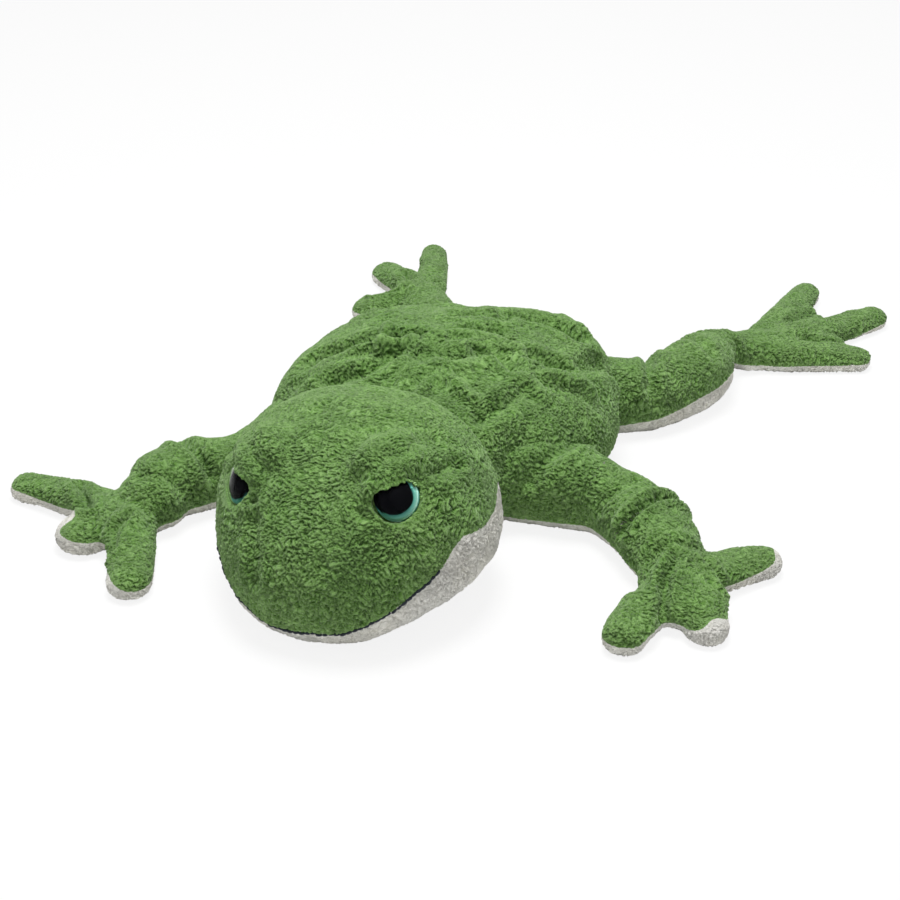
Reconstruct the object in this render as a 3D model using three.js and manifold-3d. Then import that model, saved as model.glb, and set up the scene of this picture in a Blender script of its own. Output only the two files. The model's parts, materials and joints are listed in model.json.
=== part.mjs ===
import * as THREE from "three";
import { mergeVertices } from "three/addons/utils/BufferGeometryUtils.js";
import Module from "manifold-3d";

// A floppy plush frog that lies on its belly with its limbs sprawled.
// Millimetres, +Z up, the floor at zero, the head towards -Y, the origin on the floor under the belly.
// Inside the frog group, X runs forward to the head and Y to the frog's left.
// Each soft form is a green panel above a seam and a cream panel below it, round a fibre filling.
// Where two forms meet at a sewn crease, one has a round end that turns in the other's hollow.

// Fabric, gaps and the floor
const skinThickness = 4;
const seamGap = 0.3;
const fillGap = 0.3;
const jointGap = 0.3;
const contactGap = 1.2;
const neckGap = 0.6;
const floorSink = 0.5;

// Body
const bodyFront = 72;
const bodyRear = 86;
const bodyHalfWidth = 80;
const bodyHeight = 71;
const bodyWaistHeight = 24;
const bodySeamHeight = 10;
const pouchHeight = 13;
const pouchHalfWidth = 37;
const pouchHalfLength = 43;

// Head
const neckForward = 82;
const neckHeight = 40;
const headYaw = 2;
const headTilt = 7;
const headRear = 26;
const headFront = 96;
const headHalfWidth = 65;
const headHeight = 90;
const headSeamHeight = 30;
const mouthHeight = 10;
const cornerHeight = 17;
const cheekHeight = 27;
const napeHeight = 44;
const mouthCornerBack = 42;
const cheekBack = 60;
const cheekRun = 16;
const mouthSpread = 78;
const threadRadius = 0.9;
const threadOff = 0.4;
const threadGap = 0.3;

// Eyes
const eyeRadius = 11;
const lensRise = 5.5;
const pupilRadius = 8;
const pupilThickness = 0.8;
const irisThickness = 1.8;
const shankRadius = 2.4;
const shankLength = 9;
const washerRadius = 7.5;
const washerThickness = 1.5;
const eyeSink = 2.2;
const eyeGap = 0.3;
const eyeForward = 64;
const eyeSide = 38;
const eyeOutward = 52;
const eyeUpward = 26;

// Shoulders and hips, as places on the body
const shoulderForward = 43;
const shoulderSide = 65;
const shoulderHeight = 24;
const hipBack = 50;
const hipSide = 64;
const hipHeight = 24;

// Limb stretches: length between creases, radius of the round end, half width and rise above the seam
const upperArm = { length: 47, round: 14, halfWidth: 20, rise: 19 };
const forearm = { length: 43, round: 12, halfWidth: 17, rise: 16 };
const thigh = { length: 52, round: 15, halfWidth: 25, rise: 17 };
const shin = { length: 57, round: 12, halfWidth: 24, rise: 19 };
// Hands and feet: length to the middle of the palm, and the size of the longest finger or toe
const hand = {
  length: 18, round: 9.5, halfWidth: 19, rise: 12,
  fingerLength: 52, fingerHalfWidth: 11.5, fingerRise: 8,
};
const foot = {
  length: 34, round: 9, halfWidth: 21, rise: 11,
  fingerLength: 84, fingerHalfWidth: 12, fingerRise: 8,
};
const elbowHeight = 15;
const kneeHeight = 15;
const wristHeight = 10.5;
const ankleHeight = 10;
const handSeamHeight = 6;
const limbSeamHeight = 8;

// Angles of each limb as it lies, outward from straight ahead, and each finger or toe from the middle one
const leftArmPose = { upperAngle: 103, lowerAngle: 31, endAngle: 36, fingerAngles: [-60, -10, 98] };
const rightArmPose = { upperAngle: 60, lowerAngle: 22, endAngle: 17, fingerAngles: [-57, 0, 86] };
const leftLegPose = { upperAngle: 150, lowerAngle: 157, endAngle: 140, fingerAngles: [38, 0, -50] };
const rightLegPose = { upperAngle: 158, lowerAngle: 232, endAngle: 138, fingerAngles: [24, -8, -60] };

// How far each joint turns from rest
const neckLift = 22;
const shoulderSwing = 20;
const elbowFold = 25;
const hipSwing = 20;
const kneeFold = 25;
const handLift = 35;
const footLift = 30;
const sweepStep = 25;
const neckStep = 11;

// Shares of the sizes above that shape the forms
// Along the body from rump to neck: half width, top and underside
const bodyShares = [
  [0.02, 0.36, 0.34, 0.5],
  [0.1, 0.68, 0.65, 0.86],
  [0.25, 0.93, 0.9, 1],
  [0.48, 1, 1, 1],
  [0.74, 0.87, 0.93, 0.98],
  [0.94, 0.56, 0.68, 0.78],
];
// Along the head from nape to nose: half width, top and underside
const headShares = [
  [0.06, 0.54, 0.62, 0.54],
  [0.26, 0.93, 0.96, 0.97],
  [0.48, 1, 0.98, 1],
  [0.7, 0.9, 0.79, 1],
  [0.88, 0.66, 0.47, 0.98],
  [0.97, 0.38, 0.22, 0.7],
];
// Along a limb stretch from its round end: half width and rise
const stretchShares = [
  [0.16, 0.76, 0.74],
  [0.48, 1, 1],
  [0.88, 0.88, 0.88],
];
// Along a palm: half width and rise
const palmShares = [
  [0.26, 0.76, 0.98],
  [0.7, 0.96, 0.88],
];
const palmLengthShare = 1.8;
// Along a finger or toe: half width and rise
const fingerShares = [
  [0.1, 0.62, 1],
  [0.72, 0.98, 0.9],
  [0.94, 0.76, 0.62],
];
// Each finger or toe as a share of the longest
const fingerLengthShares = [1, 0.55, 0.96];
const toeLengthShares = [1, 0.95, 0.62];

// Along the pellet pouch: its size
const pouchShares = [
  [-0.92, 0.4],
  [-0.6, 0.8],
  [0, 1],
  [0.6, 0.8],
  [0.92, 0.4],
];
const lensEdge = 0.18;

// Facets of the round forms
const formSides = 16;
const limbSides = 8;
const insideSides = 8;
const fingerSides = 6;
const ballSides = 12;
const ballRows = 4;
const eyeSides = 12;
const eyeRows = 3;
const threadSides = 5;
const threadSteps = 8;
const formFullness = 0.85;

const plushGreen = new THREE.MeshStandardMaterial({ color: 0x5f8f3f, roughness: 0.95, metalness: 0 });
const plushCream = new THREE.MeshStandardMaterial({ color: 0xd2d1c4, roughness: 0.95, metalness: 0 });
const fibreWhite = new THREE.MeshStandardMaterial({ color: 0xf2f0ea, roughness: 1, metalness: 0 });
const pelletCloth = new THREE.MeshStandardMaterial({ color: 0xe6e2d6, roughness: 0.9, metalness: 0 });
const threadBlack = new THREE.MeshStandardMaterial({ color: 0x1a1f1c, roughness: 0.8, metalness: 0 });
const lensClear = new THREE.MeshStandardMaterial({ color: 0xdfeee8, roughness: 0.05, metalness: 0 });
const irisTeal = new THREE.MeshStandardMaterial({ color: 0x4f8f7a, roughness: 0.25, metalness: 0 });
const pupilBlack = new THREE.MeshStandardMaterial({ color: 0x070708, roughness: 0.15, metalness: 0 });
const washerWhite = new THREE.MeshStandardMaterial({ color: 0xe9e9e4, roughness: 0.5, metalness: 0 });

const wasm = await Module();
wasm.setup();

// A closed geometry as a solid that can be joined and cut.
function solid(geometry) {
  const bare = geometry.clone();
  bare.deleteAttribute("normal");
  bare.deleteAttribute("uv");
  const merged = mergeVertices(bare, 1e-4);
  return new wasm.Manifold(new wasm.Mesh({
    numProp: 3,
    vertProperties: new Float32Array(merged.attributes.position.array),
    triVerts: new Uint32Array(merged.index.array),
  }));
}

function geometryOf(body) {
  const made = body.getMesh();
  const geometry = new THREE.BufferGeometry();
  geometry.setAttribute("position", new THREE.BufferAttribute(made.vertProperties, 3));
  geometry.setIndex(new THREE.BufferAttribute(made.triVerts, 1));
  geometry.computeVertexNormals();
  return geometry;
}

function addPart(group, name, body, material) {
  const mesh = new THREE.Mesh(geometryOf(body), material);
  mesh.name = name;
  group.add(mesh);
  return mesh;
}

// A closed form along +X through sections {at, halfWidth, top, bottom, middle}, with a point at each end.
// A fullness under 1 makes its sections fuller than an ellipse.
function swellingForm(sections, ends, sides, fullness) {
  const points = [];
  const faces = [];
  const full = (value) => Math.sign(value) * Math.abs(value) ** fullness;
  for (const { at, halfWidth, top, bottom, middle } of sections) {
    for (let i = 0; i < sides; i++) {
      const angle = (2 * Math.PI * i) / sides;
      const rise = full(Math.sin(angle));
      points.push(at, halfWidth * full(Math.cos(angle)), middle + rise * (rise > 0 ? top : bottom));
    }
  }
  const ring = (row, i) => row * sides + (i % sides);
  const last = sections.length - 1;
  const [startTip, endTip] = ends.map(({ at, middle }) => points.push(at, 0, middle) / 3 - 1);
  for (let i = 0; i < sides; i++) {
    for (let row = 0; row < last; row++) {
      faces.push(ring(row, i), ring(row, i + 1), ring(row + 1, i));
      faces.push(ring(row, i + 1), ring(row + 1, i + 1), ring(row + 1, i));
    }
    faces.push(startTip, ring(0, i + 1), ring(0, i));
    faces.push(endTip, ring(last, i), ring(last, i + 1));
  }
  const geometry = new THREE.BufferGeometry();
  geometry.setAttribute("position", new THREE.Float32BufferAttribute(points, 3));
  geometry.setIndex(faces);
  return geometry;
}

// A ball with its poles on the axis that it turns about, "Z" or "Y".
function ball(radius, poles) {
  const geometry = new THREE.SphereGeometry(radius, ballSides, ballRows);
  return poles === "Z" ? geometry.rotateX(Math.PI / 2) : geometry;
}

// The hollow that a ball of this radius turns in, clear of the ball's corners.
function hollowRadius(radius, gap) {
  return (radius + gap) / Math.cos(Math.PI / ballSides);
}

// The same form, larger by a gap on every side.
function grown(geometry, gap) {
  const copy = geometry.clone();
  copy.computeBoundingBox();
  const size = copy.boundingBox.getSize(new THREE.Vector3());
  const centre = copy.boundingBox.getCenter(new THREE.Vector3());
  return copy
    .translate(-centre.x, -centre.y, -centre.z)
    .scale(1 + (2 * gap) / size.x, 1 + (2 * gap) / size.y, 1 + (2 * gap) / size.z)
    .translate(centre.x, centre.y, centre.z);
}

// Everything under a line of [forward, height] points, across the whole width of a form.
function underSeam(line, halfWidth, depth) {
  const shape = new THREE.Shape();
  shape.moveTo(line[0][0], line[0][1] - depth);
  for (const [forward, height] of line) {
    shape.lineTo(forward, height);
  }
  shape.lineTo(line[line.length - 1][0], line[line.length - 1][1] - depth);
  return new THREE.ExtrudeGeometry(shape, { depth: 2 * halfWidth, bevelEnabled: false })
    .translate(0, 0, -halfWidth)
    .rotateX(Math.PI / 2);
}

function raised(line, lift) {
  return line.map(([forward, height]) => [forward, height + lift]);
}

// A form at three sizes: its outside, the inside of its fabric, and its filling.
function layers(makeForm, sides) {
  return {
    outside: makeForm(0, sides),
    hollow: makeForm(skinThickness, insideSides),
    filling: makeForm(skinThickness + fillGap, insideSides),
  };
}

// Cut the same solid from every layer.
function cutLayers(made, cutter) {
  return {
    outside: made.outside.subtract(cutter),
    hollow: made.hollow,
    filling: made.filling.subtract(cutter),
  };
}

// The upper panel, the under panel and the filling of a form, split along its seam.
function addPanels(group, name, made, seam, names) {
  const size = made.outside.boundingBox();
  const across = 2 * Math.max(size.max[1], -size.min[1]);
  const depth = size.max[2] - size.min[2];
  const skin = made.outside.subtract(made.hollow);
  const above = skin.subtract(solid(underSeam(raised(seam, seamGap / 2), across, depth)));
  const below = skin.intersect(solid(underSeam(raised(seam, -seamGap / 2), across, depth)));
  addPart(group, `${name}_${names[0]}`, above, plushGreen);
  addPart(group, `${name}_${names[1]}`, below, plushCream);
  addPart(group, `${name}_filling`, made.filling, fibreWhite);
}

// Sections along a form from shares of its half width, top and underside.
function sectionsOf(shares, rear, front, halfWidth, top, bottom, inset) {
  const length = rear + front - 2 * inset;
  return shares.map(([along, wide, high, low]) => ({
    at: -rear + inset + along * length,
    halfWidth: halfWidth * wide - inset,
    top: top * high - inset,
    bottom: bottom * low - inset,
    middle: 0,
  }));
}

function floorBlock(reach, floorHeight) {
  return solid(new THREE.BoxGeometry(2 * reach, 2 * reach, reach).translate(0, 0, floorHeight - reach / 2));
}

// The body, in a frame on the floor under its middle. The filling lies on the pellet pouch.
function bodyLayers() {
  const room = skinThickness + fillGap;
  return layers((inset, sides) => {
    const depth = inset === room ? bodyWaistHeight - pouchHeight - fillGap : bodyWaistHeight + floorSink;
    const sections = sectionsOf(bodyShares, bodyRear, bodyFront, bodyHalfWidth,
      bodyHeight - bodyWaistHeight, depth, inset);
    const ends = [{ at: -bodyRear + inset, middle: 0 }, { at: bodyFront - inset, middle: 0 }];
    return solid(swellingForm(sections, ends, sides, formFullness).translate(0, 0, bodyWaistHeight));
  }, formSides);
}

// The pouch of pellets that weighs the belly down, under the filling.
function pouch() {
  const half = pouchHeight / 2;
  const sections = pouchShares.map(([along, wide]) => ({
    at: along * pouchHalfLength,
    halfWidth: wide * pouchHalfWidth,
    top: wide * half,
    bottom: wide * half,
    middle: 0,
  }));
  const ends = [{ at: -pouchHalfLength, middle: 0 }, { at: pouchHalfLength, middle: 0 }];
  return solid(swellingForm(sections, ends, insideSides, 1).translate(0, 0, skinThickness + fillGap + half));
}

// The head, in a frame at the neck.
function headLayers() {
  return layers((inset, sides) => {
    const sections = sectionsOf(headShares, headRear, headFront, headHalfWidth,
      headHeight - headSeamHeight, headSeamHeight + floorSink, inset);
    const ends = [{ at: -headRear + inset, middle: 0 }, { at: headFront - inset, middle: 0 }];
    const rise = headSeamHeight - neckHeight;
    return solid(swellingForm(sections, ends, sides, formFullness).translate(0, 0, rise));
  }, formSides);
}

// A limb stretch, in a frame at its own joint, sloping to the height of the next one.
function stretchLayers(stretch, startHeight, endHeight, endRound) {
  const drop = (at) => ((endHeight - startHeight) * at) / stretch.length;
  return layers((inset, sides) => {
    const start = inset ? stretch.round : 0;
    const end = stretch.length - (inset ? endRound + inset : 0);
    const sections = stretchShares.map(([along, wide, high]) => {
      const at = start + along * (end - start);
      const top = stretch.rise * high;
      return {
        at,
        halfWidth: stretch.halfWidth * wide - inset,
        top: top - inset,
        bottom: Math.min(startHeight + drop(at) + floorSink, top) - inset,
        middle: drop(at),
      };
    });
    const ends = [{ at: start, middle: drop(start) }, { at: end, middle: drop(end) }];
    const sleeve = solid(swellingForm(sections, ends, sides, formFullness));
    return inset ? sleeve : sleeve.add(solid(ball(stretch.round, "Z")));
  }, limbSides);
}

// One section of a hand or foot, level with its seam.
function paddleSection(at, halfWidth, rise, inset) {
  return {
    at,
    halfWidth: halfWidth - inset,
    top: rise - inset,
    bottom: handSeamHeight + floorSink - inset,
    middle: 0,
  };
}

// A finger or toe, fabric all through, along +X from the middle of the palm.
function finger(paddle, lengthShare) {
  const length = paddle.fingerLength * lengthShare;
  const sections = fingerShares.map(([along, wide, high]) =>
    paddleSection(along * length, paddle.fingerHalfWidth * wide, paddle.fingerRise * high, 0));
  const ends = [{ at: -paddle.fingerHalfWidth / 2, middle: 0 }, { at: length, middle: 0 }];
  return swellingForm(sections, ends, fingerSides, formFullness);
}

// A hand or foot, in a frame at its own joint: a palm and three fingers or toes.
function paddleLayers(paddle, startHeight, angles, lengthShares) {
  const level = handSeamHeight - startHeight;
  const made = layers((inset, sides) => {
    const start = inset ? paddle.round : 0;
    const end = paddle.length * palmLengthShare - inset;
    const sections = palmShares.map(([along, wide, high]) =>
      paddleSection(start + along * (end - start), paddle.halfWidth * wide, paddle.rise * high, inset));
    const ends = [{ at: start, middle: 0 }, { at: end, middle: 0 }];
    return solid(swellingForm(sections, ends, sides, formFullness).translate(0, 0, level));
  }, limbSides);
  made.outside = angles.reduce((whole, angle, i) => {
    const turned = finger(paddle, lengthShares[i])
      .rotateZ(THREE.MathUtils.degToRad(angle))
      .translate(paddle.length, 0, level);
    return whole.add(solid(turned));
  }, made.outside.add(solid(ball(paddle.round, "Y"))));
  return made;
}

// What a turning form must stay clear of, seen from its own frame at each step of its turn.
function clearOf(geometry, place, axis, from, to, keep) {
  const steps = Math.max(1, Math.ceil((to - from) / sweepStep));
  const toChild = place.clone().invert();
  const seen = [];
  for (let i = 0; i <= steps; i++) {
    const angle = THREE.MathUtils.degToRad(from + ((to - from) * i) / steps);
    const turn = new THREE.Matrix4().makeRotationAxis(axis, -angle).multiply(toChild);
    seen.push(solid(geometry.clone().applyMatrix4(turn)));
  }
  return seen.reduce((whole, one) => whole.add(one)).subtract(solid(keep));
}

const axisUp = new THREE.Vector3(0, 0, 1);
const axisLift = new THREE.Vector3(0, -1, 0);

function jointGroup(parent, name, place, angle, tilt = 0) {
  const group = new THREE.Group();
  group.name = name;
  group.position.set(...place);
  group.rotation.set(THREE.MathUtils.degToRad(tilt), 0, THREE.MathUtils.degToRad(angle), "ZXY");
  parent.add(group);
  group.updateMatrix();
  return group;
}

// The joints of a limb from the body outward: its forms, where each starts, and how it turns.
function limbJoints(limb, side) {
  const direction = side === "left" ? 1 : -1;
  const [first, second] = limb.stretches;
  const { paddle, heights, pose } = limb;
  const fingers = pose.fingerAngles.map((angle) => direction * angle);
  const [forward, aside] = limb.root;
  return [
    {
      name: limb.names[0],
      round: first.round,
      poles: "Z",
      place: [forward, direction * aside, heights[0]],
      angle: direction * pose.upperAngle,
      axis: axisUp,
      range: [-limb.turns[0], limb.turns[0]],
      made: stretchLayers(first, heights[0], heights[1], second.round),
      seam: limbSeamHeight - heights[0],
    },
    {
      name: limb.names[1],
      round: second.round,
      poles: "Z",
      place: [first.length, 0, heights[1] - heights[0]],
      angle: direction * (pose.lowerAngle - pose.upperAngle),
      axis: axisUp,
      range: [-limb.turns[1], limb.turns[1]],
      made: stretchLayers(second, heights[1], heights[2], paddle.round),
      seam: limbSeamHeight - heights[1],
    },
    {
      name: limb.names[2],
      round: paddle.round,
      poles: "Y",
      place: [second.length, 0, heights[2] - heights[1]],
      angle: direction * (pose.endAngle - pose.lowerAngle),
      axis: axisLift,
      range: [0, limb.turns[2]],
      made: paddleLayers(paddle, heights[2], fingers, limb.lengthShares),
      seam: handSeamHeight - heights[2],
    },
  ];
}

// One limb: each form is trimmed clear of the one before it and hollowed for the one after it.
function addLimb(torso, torsoForm, limb, side) {
  const joints = limbJoints(limb, side);
  const reach = 8 * limb.stretches[0].length;
  let parent = torso;
  let parentForm = torsoForm;
  joints.forEach((joint, i) => {
    const group = jointGroup(parent, `${side}_${joint.name}_joint`, joint.place, joint.angle);
    const keep = ball(joint.round + jointGap / 2, joint.poles);
    const around = clearOf(grown(parentForm, contactGap), group.matrix, joint.axis, ...joint.range, keep);
    parentForm = geometryOf(joint.made.outside);
    let made = cutLayers(joint.made, around);
    made = cutLayers(made, floorBlock(reach, -limb.heights[i]));
    const next = joints[i + 1];
    if (next) {
      const hollow = ball(hollowRadius(next.round, jointGap), next.poles)
        .rotateZ(THREE.MathUtils.degToRad(next.angle))
        .translate(...next.place);
      made = cutLayers(made, solid(hollow));
    }
    const seam = [[-reach, joint.seam], [reach, joint.seam]];
    addPanels(group, `${side}_${joint.name}`, made, seam, ["top", "sole"]);
    parent = group;
  });
}

// Where the eye sits on the head: its middle on the surface, and the way it looks.
function eyeSeat(headForm, side) {
  const direction = side === "left" ? 1 : -1;
  const outward = THREE.MathUtils.degToRad(direction * eyeOutward);
  const upward = THREE.MathUtils.degToRad(eyeUpward);
  const looks = new THREE.Vector3(
    Math.cos(outward) * Math.cos(upward), Math.sin(outward) * Math.cos(upward), Math.sin(upward));
  const above = new THREE.Vector3(eyeForward, direction * eyeSide, headHeight);
  const probe = new THREE.Mesh(headForm, new THREE.MeshBasicMaterial({ side: THREE.DoubleSide }));
  const [hit] = new THREE.Raycaster(above, axisUp.clone().negate()).intersectObject(probe);
  const seat = new THREE.Matrix4().makeRotationFromQuaternion(
    new THREE.Quaternion().setFromUnitVectors(axisUp, looks));
  return seat.setPosition(hit.point.addScaledVector(looks, -eyeSink));
}

function turned(profile) {
  const points = profile.map(([radius, height]) => new THREE.Vector2(radius, height));
  return new THREE.LatheGeometry(points, eyeSides).rotateX(Math.PI / 2);
}

function disc(radius, low, high) {
  return turned([[0, low], [radius, low], [radius, high], [0, high]]);
}

function eyePieces() {
  const iris = turned([
    [0, -shankLength], [shankRadius, -shankLength], [shankRadius, 0],
    [eyeRadius, 0], [eyeRadius, irisThickness], [0, irisThickness],
  ]);
  const front = irisThickness + eyeGap;
  const pupil = disc(pupilRadius, front, front + pupilThickness);
  const recess = front + pupilThickness + eyeGap;
  const dome = [];
  for (let i = 0; i <= eyeRows; i++) {
    const angle = (Math.PI / 2) * (i / eyeRows);
    const rise = lensEdge + (1 - lensEdge) * Math.sin(angle);
    dome.push([eyeRadius * Math.cos(angle), front + lensRise * rise]);
  }
  dome[eyeRows][0] = 0;
  const lens = turned([
    [0, recess], [pupilRadius + eyeGap, recess], [pupilRadius + eyeGap, front], [eyeRadius, front], ...dome,
  ]);
  const washerTop = eyeSink - skinThickness - eyeGap;
  const washer = turned([
    [shankRadius + eyeGap, washerTop - washerThickness], [washerRadius, washerTop - washerThickness],
    [washerRadius, washerTop], [shankRadius + eyeGap, washerTop],
    [shankRadius + eyeGap, washerTop - washerThickness],
  ]);
  return { iris, pupil, lens, washer };
}

// The room that an eye takes in the fabric, and behind it in the filling.
function eyeRoom() {
  const inner = eyeSink - skinThickness;
  return turned([
    [0, -shankLength - skinThickness], [washerRadius + eyeGap, -shankLength - skinThickness],
    [washerRadius + eyeGap, inner], [shankRadius + eyeGap, inner], [shankRadius + eyeGap, -eyeGap],
    [eyeRadius + eyeGap, -eyeGap], [eyeRadius + eyeGap, lensRise * 2], [0, lensRise * 2],
  ]);
}

// The head's seam, as [forward, height] points in the head's frame.
function headSeamLine() {
  const corner = headFront - mouthCornerBack;
  return [
    [-2 * headFront, napeHeight],
    [headFront - cheekBack - cheekRun, napeHeight],
    [headFront - cheekBack, cheekHeight],
    [corner, cornerHeight],
    [headFront, mouthHeight],
    [2 * headFront, mouthHeight],
  ].map(([forward, height]) => [forward, height - neckHeight]);
}

// The sewn mouth, a thread that lies just off the seam from one corner to the other.
function mouthPath(headForm) {
  const probe = new THREE.Mesh(headForm, new THREE.MeshBasicMaterial({ side: THREE.DoubleSide }));
  const middle = headFront - mouthCornerBack;
  const points = [];
  for (let i = 0; i <= threadSteps; i++) {
    const angle = THREE.MathUtils.degToRad(mouthSpread * ((2 * i) / threadSteps - 1));
    const share = 1 - Math.cos(angle);
    const height = mouthHeight + (cornerHeight - mouthHeight) * share - neckHeight;
    const away = new THREE.Vector3(Math.cos(angle), Math.sin(angle), 0);
    const from = new THREE.Vector3(middle, 0, height);
    const [hit] = new THREE.Raycaster(from, away).intersectObject(probe);
    points.push(hit.point.addScaledVector(away, threadOff));
  }
  return new THREE.CatmullRomCurve3(points);
}

function threadAlong(path, radius) {
  const round = new THREE.Shape();
  for (let i = 0; i < threadSides; i++) {
    const angle = (2 * Math.PI * i) / threadSides;
    const at = [radius * Math.cos(angle), radius * Math.sin(angle)];
    if (i) {
      round.lineTo(...at);
    } else {
      round.moveTo(...at);
    }
  }
  return new THREE.ExtrudeGeometry(round, { steps: threadSteps, extrudePath: path, bevelEnabled: false });
}

// The back of the head turns in a hollow in the front of the body.
function neckHollow(headForm, place) {
  const steps = Math.ceil(neckLift / neckStep);
  const shapes = [];
  for (let i = 0; i <= steps; i++) {
    const angle = THREE.MathUtils.degToRad((neckLift * i) / steps);
    const lift = new THREE.Matrix4().makeRotationAxis(axisLift, angle);
    shapes.push(solid(grown(headForm, neckGap).applyMatrix4(lift.premultiply(place))));
  }
  return shapes.reduce((whole, one) => whole.add(one));
}

function addBody(torso, body, headForm, headPlace) {
  let made = cutLayers(body, neckHollow(headForm, headPlace));
  for (const side of [1, -1]) {
    const shoulder = ball(hollowRadius(upperArm.round, jointGap), "Z");
    const hip = ball(hollowRadius(thigh.round, jointGap), "Z");
    made = cutLayers(made, solid(shoulder.translate(shoulderForward, side * shoulderSide, shoulderHeight)));
    made = cutLayers(made, solid(hip.translate(-hipBack, side * hipSide, hipHeight)));
  }
  made = cutLayers(made, floorBlock(2 * bodyHalfWidth, 0));
  const reach = 2 * bodyHalfWidth;
  addPanels(torso, "body", made, [[-reach, bodySeamHeight], [reach, bodySeamHeight]], ["back", "belly"]);
  addPart(torso, "body_pellet_pouch", pouch(), pelletCloth);
}

function addHead(group, head, headForm) {
  const floor = new THREE.BoxGeometry(4 * headFront, 4 * headFront, headFront)
    .translate(0, 0, -headFront / 2)
    .applyMatrix4(group.matrix.clone().invert());
  let made = cutLayers(head, solid(floor));
  const looks = { iris: irisTeal, pupil: pupilBlack, lens: lensClear, washer: washerWhite };
  for (const side of ["left", "right"]) {
    const seat = eyeSeat(headForm, side);
    made = cutLayers(made, solid(eyeRoom().applyMatrix4(seat)));
    for (const [name, piece] of Object.entries(eyePieces())) {
      addPart(group, `${side}_eye_${name}`, solid(piece.applyMatrix4(seat)), looks[name]);
    }
  }
  const path = mouthPath(headForm);
  made = cutLayers(made, solid(threadAlong(path, threadRadius + threadGap)));
  addPanels(group, "head", made, headSeamLine(), ["top", "chin"]);
  addPart(group, "mouth_thread", solid(threadAlong(path, threadRadius)), threadBlack);
}

const frog = new THREE.Group();
frog.name = "plush_frog";
const torso = jointGroup(frog, "torso", [0, 0, 0], -90);
const headGroup = jointGroup(torso, "head_joint", [neckForward, 0, neckHeight], -headYaw, headTilt);
const head = headLayers();
const body = bodyLayers();
const headForm = geometryOf(head.outside);
const bodyForm = geometryOf(body.outside);
addHead(headGroup, head, headForm);
addBody(torso, body, headForm, headGroup.matrix);

const arm = {
  names: ["upper_arm", "forearm", "hand"],
  stretches: [upperArm, forearm],
  paddle: hand,
  heights: [shoulderHeight, elbowHeight, wristHeight],
  root: [shoulderForward, shoulderSide],
  turns: [shoulderSwing, elbowFold, handLift],
  lengthShares: fingerLengthShares,
};
const leg = {
  names: ["thigh", "shin", "foot"],
  stretches: [thigh, shin],
  paddle: foot,
  heights: [hipHeight, kneeHeight, ankleHeight],
  root: [-hipBack, hipSide],
  turns: [hipSwing, kneeFold, footLift],
  lengthShares: toeLengthShares,
};
addLimb(torso, bodyForm, { ...arm, pose: leftArmPose }, "left");
addLimb(torso, bodyForm, { ...arm, pose: rightArmPose }, "right");
addLimb(torso, bodyForm, { ...leg, pose: leftLegPose }, "left");
addLimb(torso, bodyForm, { ...leg, pose: rightLegPose }, "right");

export default frog;
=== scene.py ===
# %% [markdown]
# # A floppy plush frog
# The frog lies on its belly with its arms and legs spread out on the floor.
# On the real toy two fabrics do all the work: a curly green pile on top and a cream one below.
# They are sewn together along one seam that runs all the way round, then filled loosely.
# Each form is blocked out, made soft, folded, and only then is its pile raised.

# %% Open the frame
import json
import math
import bpy
import numpy as np
from mathutils import Matrix, Vector
from mathutils.bvhtree import BVHTree


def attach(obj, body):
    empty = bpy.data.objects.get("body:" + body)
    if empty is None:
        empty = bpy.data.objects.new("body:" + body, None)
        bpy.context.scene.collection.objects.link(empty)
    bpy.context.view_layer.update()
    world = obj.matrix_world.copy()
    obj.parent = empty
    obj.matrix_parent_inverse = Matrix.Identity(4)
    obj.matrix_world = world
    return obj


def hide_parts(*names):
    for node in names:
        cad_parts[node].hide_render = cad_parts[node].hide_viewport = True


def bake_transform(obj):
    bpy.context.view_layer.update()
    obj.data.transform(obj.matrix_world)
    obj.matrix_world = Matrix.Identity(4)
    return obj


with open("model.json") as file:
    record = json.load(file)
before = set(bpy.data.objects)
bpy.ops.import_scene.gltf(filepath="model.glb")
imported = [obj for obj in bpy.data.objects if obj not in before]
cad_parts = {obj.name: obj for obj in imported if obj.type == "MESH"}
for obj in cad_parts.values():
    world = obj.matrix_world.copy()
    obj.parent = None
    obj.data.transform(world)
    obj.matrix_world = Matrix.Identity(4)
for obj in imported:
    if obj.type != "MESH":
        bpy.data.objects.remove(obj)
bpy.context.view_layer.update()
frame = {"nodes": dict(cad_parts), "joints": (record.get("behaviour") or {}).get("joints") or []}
bpy.ops.object.select_all(action="DESELECT")
MM = 0.001
print("nodes in the frame:", len(frame["nodes"]))

# %% [markdown]
# The frog has its own way of measuring: forward to the nose, left to its left hand, and up.
# `FROG` turns such a place, in millimetres, into the frame's metres.
# The head sits in a frame of its own, because it is turned and tilted a little on the neck.

# %% Places on the frog
FROG = Matrix.Scale(MM, 4) @ Matrix.Rotation(math.radians(-90), 4, "Z")
NECK = (82, 0, 40)
HEAD = (FROG @ Matrix.Translation(NECK)
        @ Matrix.Rotation(math.radians(-2), 4, "Z") @ Matrix.Rotation(math.radians(7), 4, "X"))


def spot(forward, left, up=0):
    return FROG @ Vector((forward, left, up))


print("the neck is at", [round(v, 3) for v in spot(*NECK)])

# %% [markdown]
# These are the few hand tools that every piece needs. Soft forms are easiest to shape like clay,
# so a mesh is picked up as rows of numbers, pushed about, and put back.

# %% Hand tools
def pick(piece):
    """Make one piece the active and only selected one."""
    bpy.ops.object.select_all(action="DESELECT")
    piece.select_set(True)
    bpy.context.view_layer.objects.active = piece
    return piece


def points_of(piece):
    flat = np.empty(len(piece.data.vertices) * 3)
    piece.data.vertices.foreach_get("co", flat)
    return flat.reshape(-1, 3)


def normals_of(piece):
    flat = np.empty(len(piece.data.vertices) * 3)
    piece.data.vertices.foreach_get("normal", flat)
    return flat.reshape(-1, 3)


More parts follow.
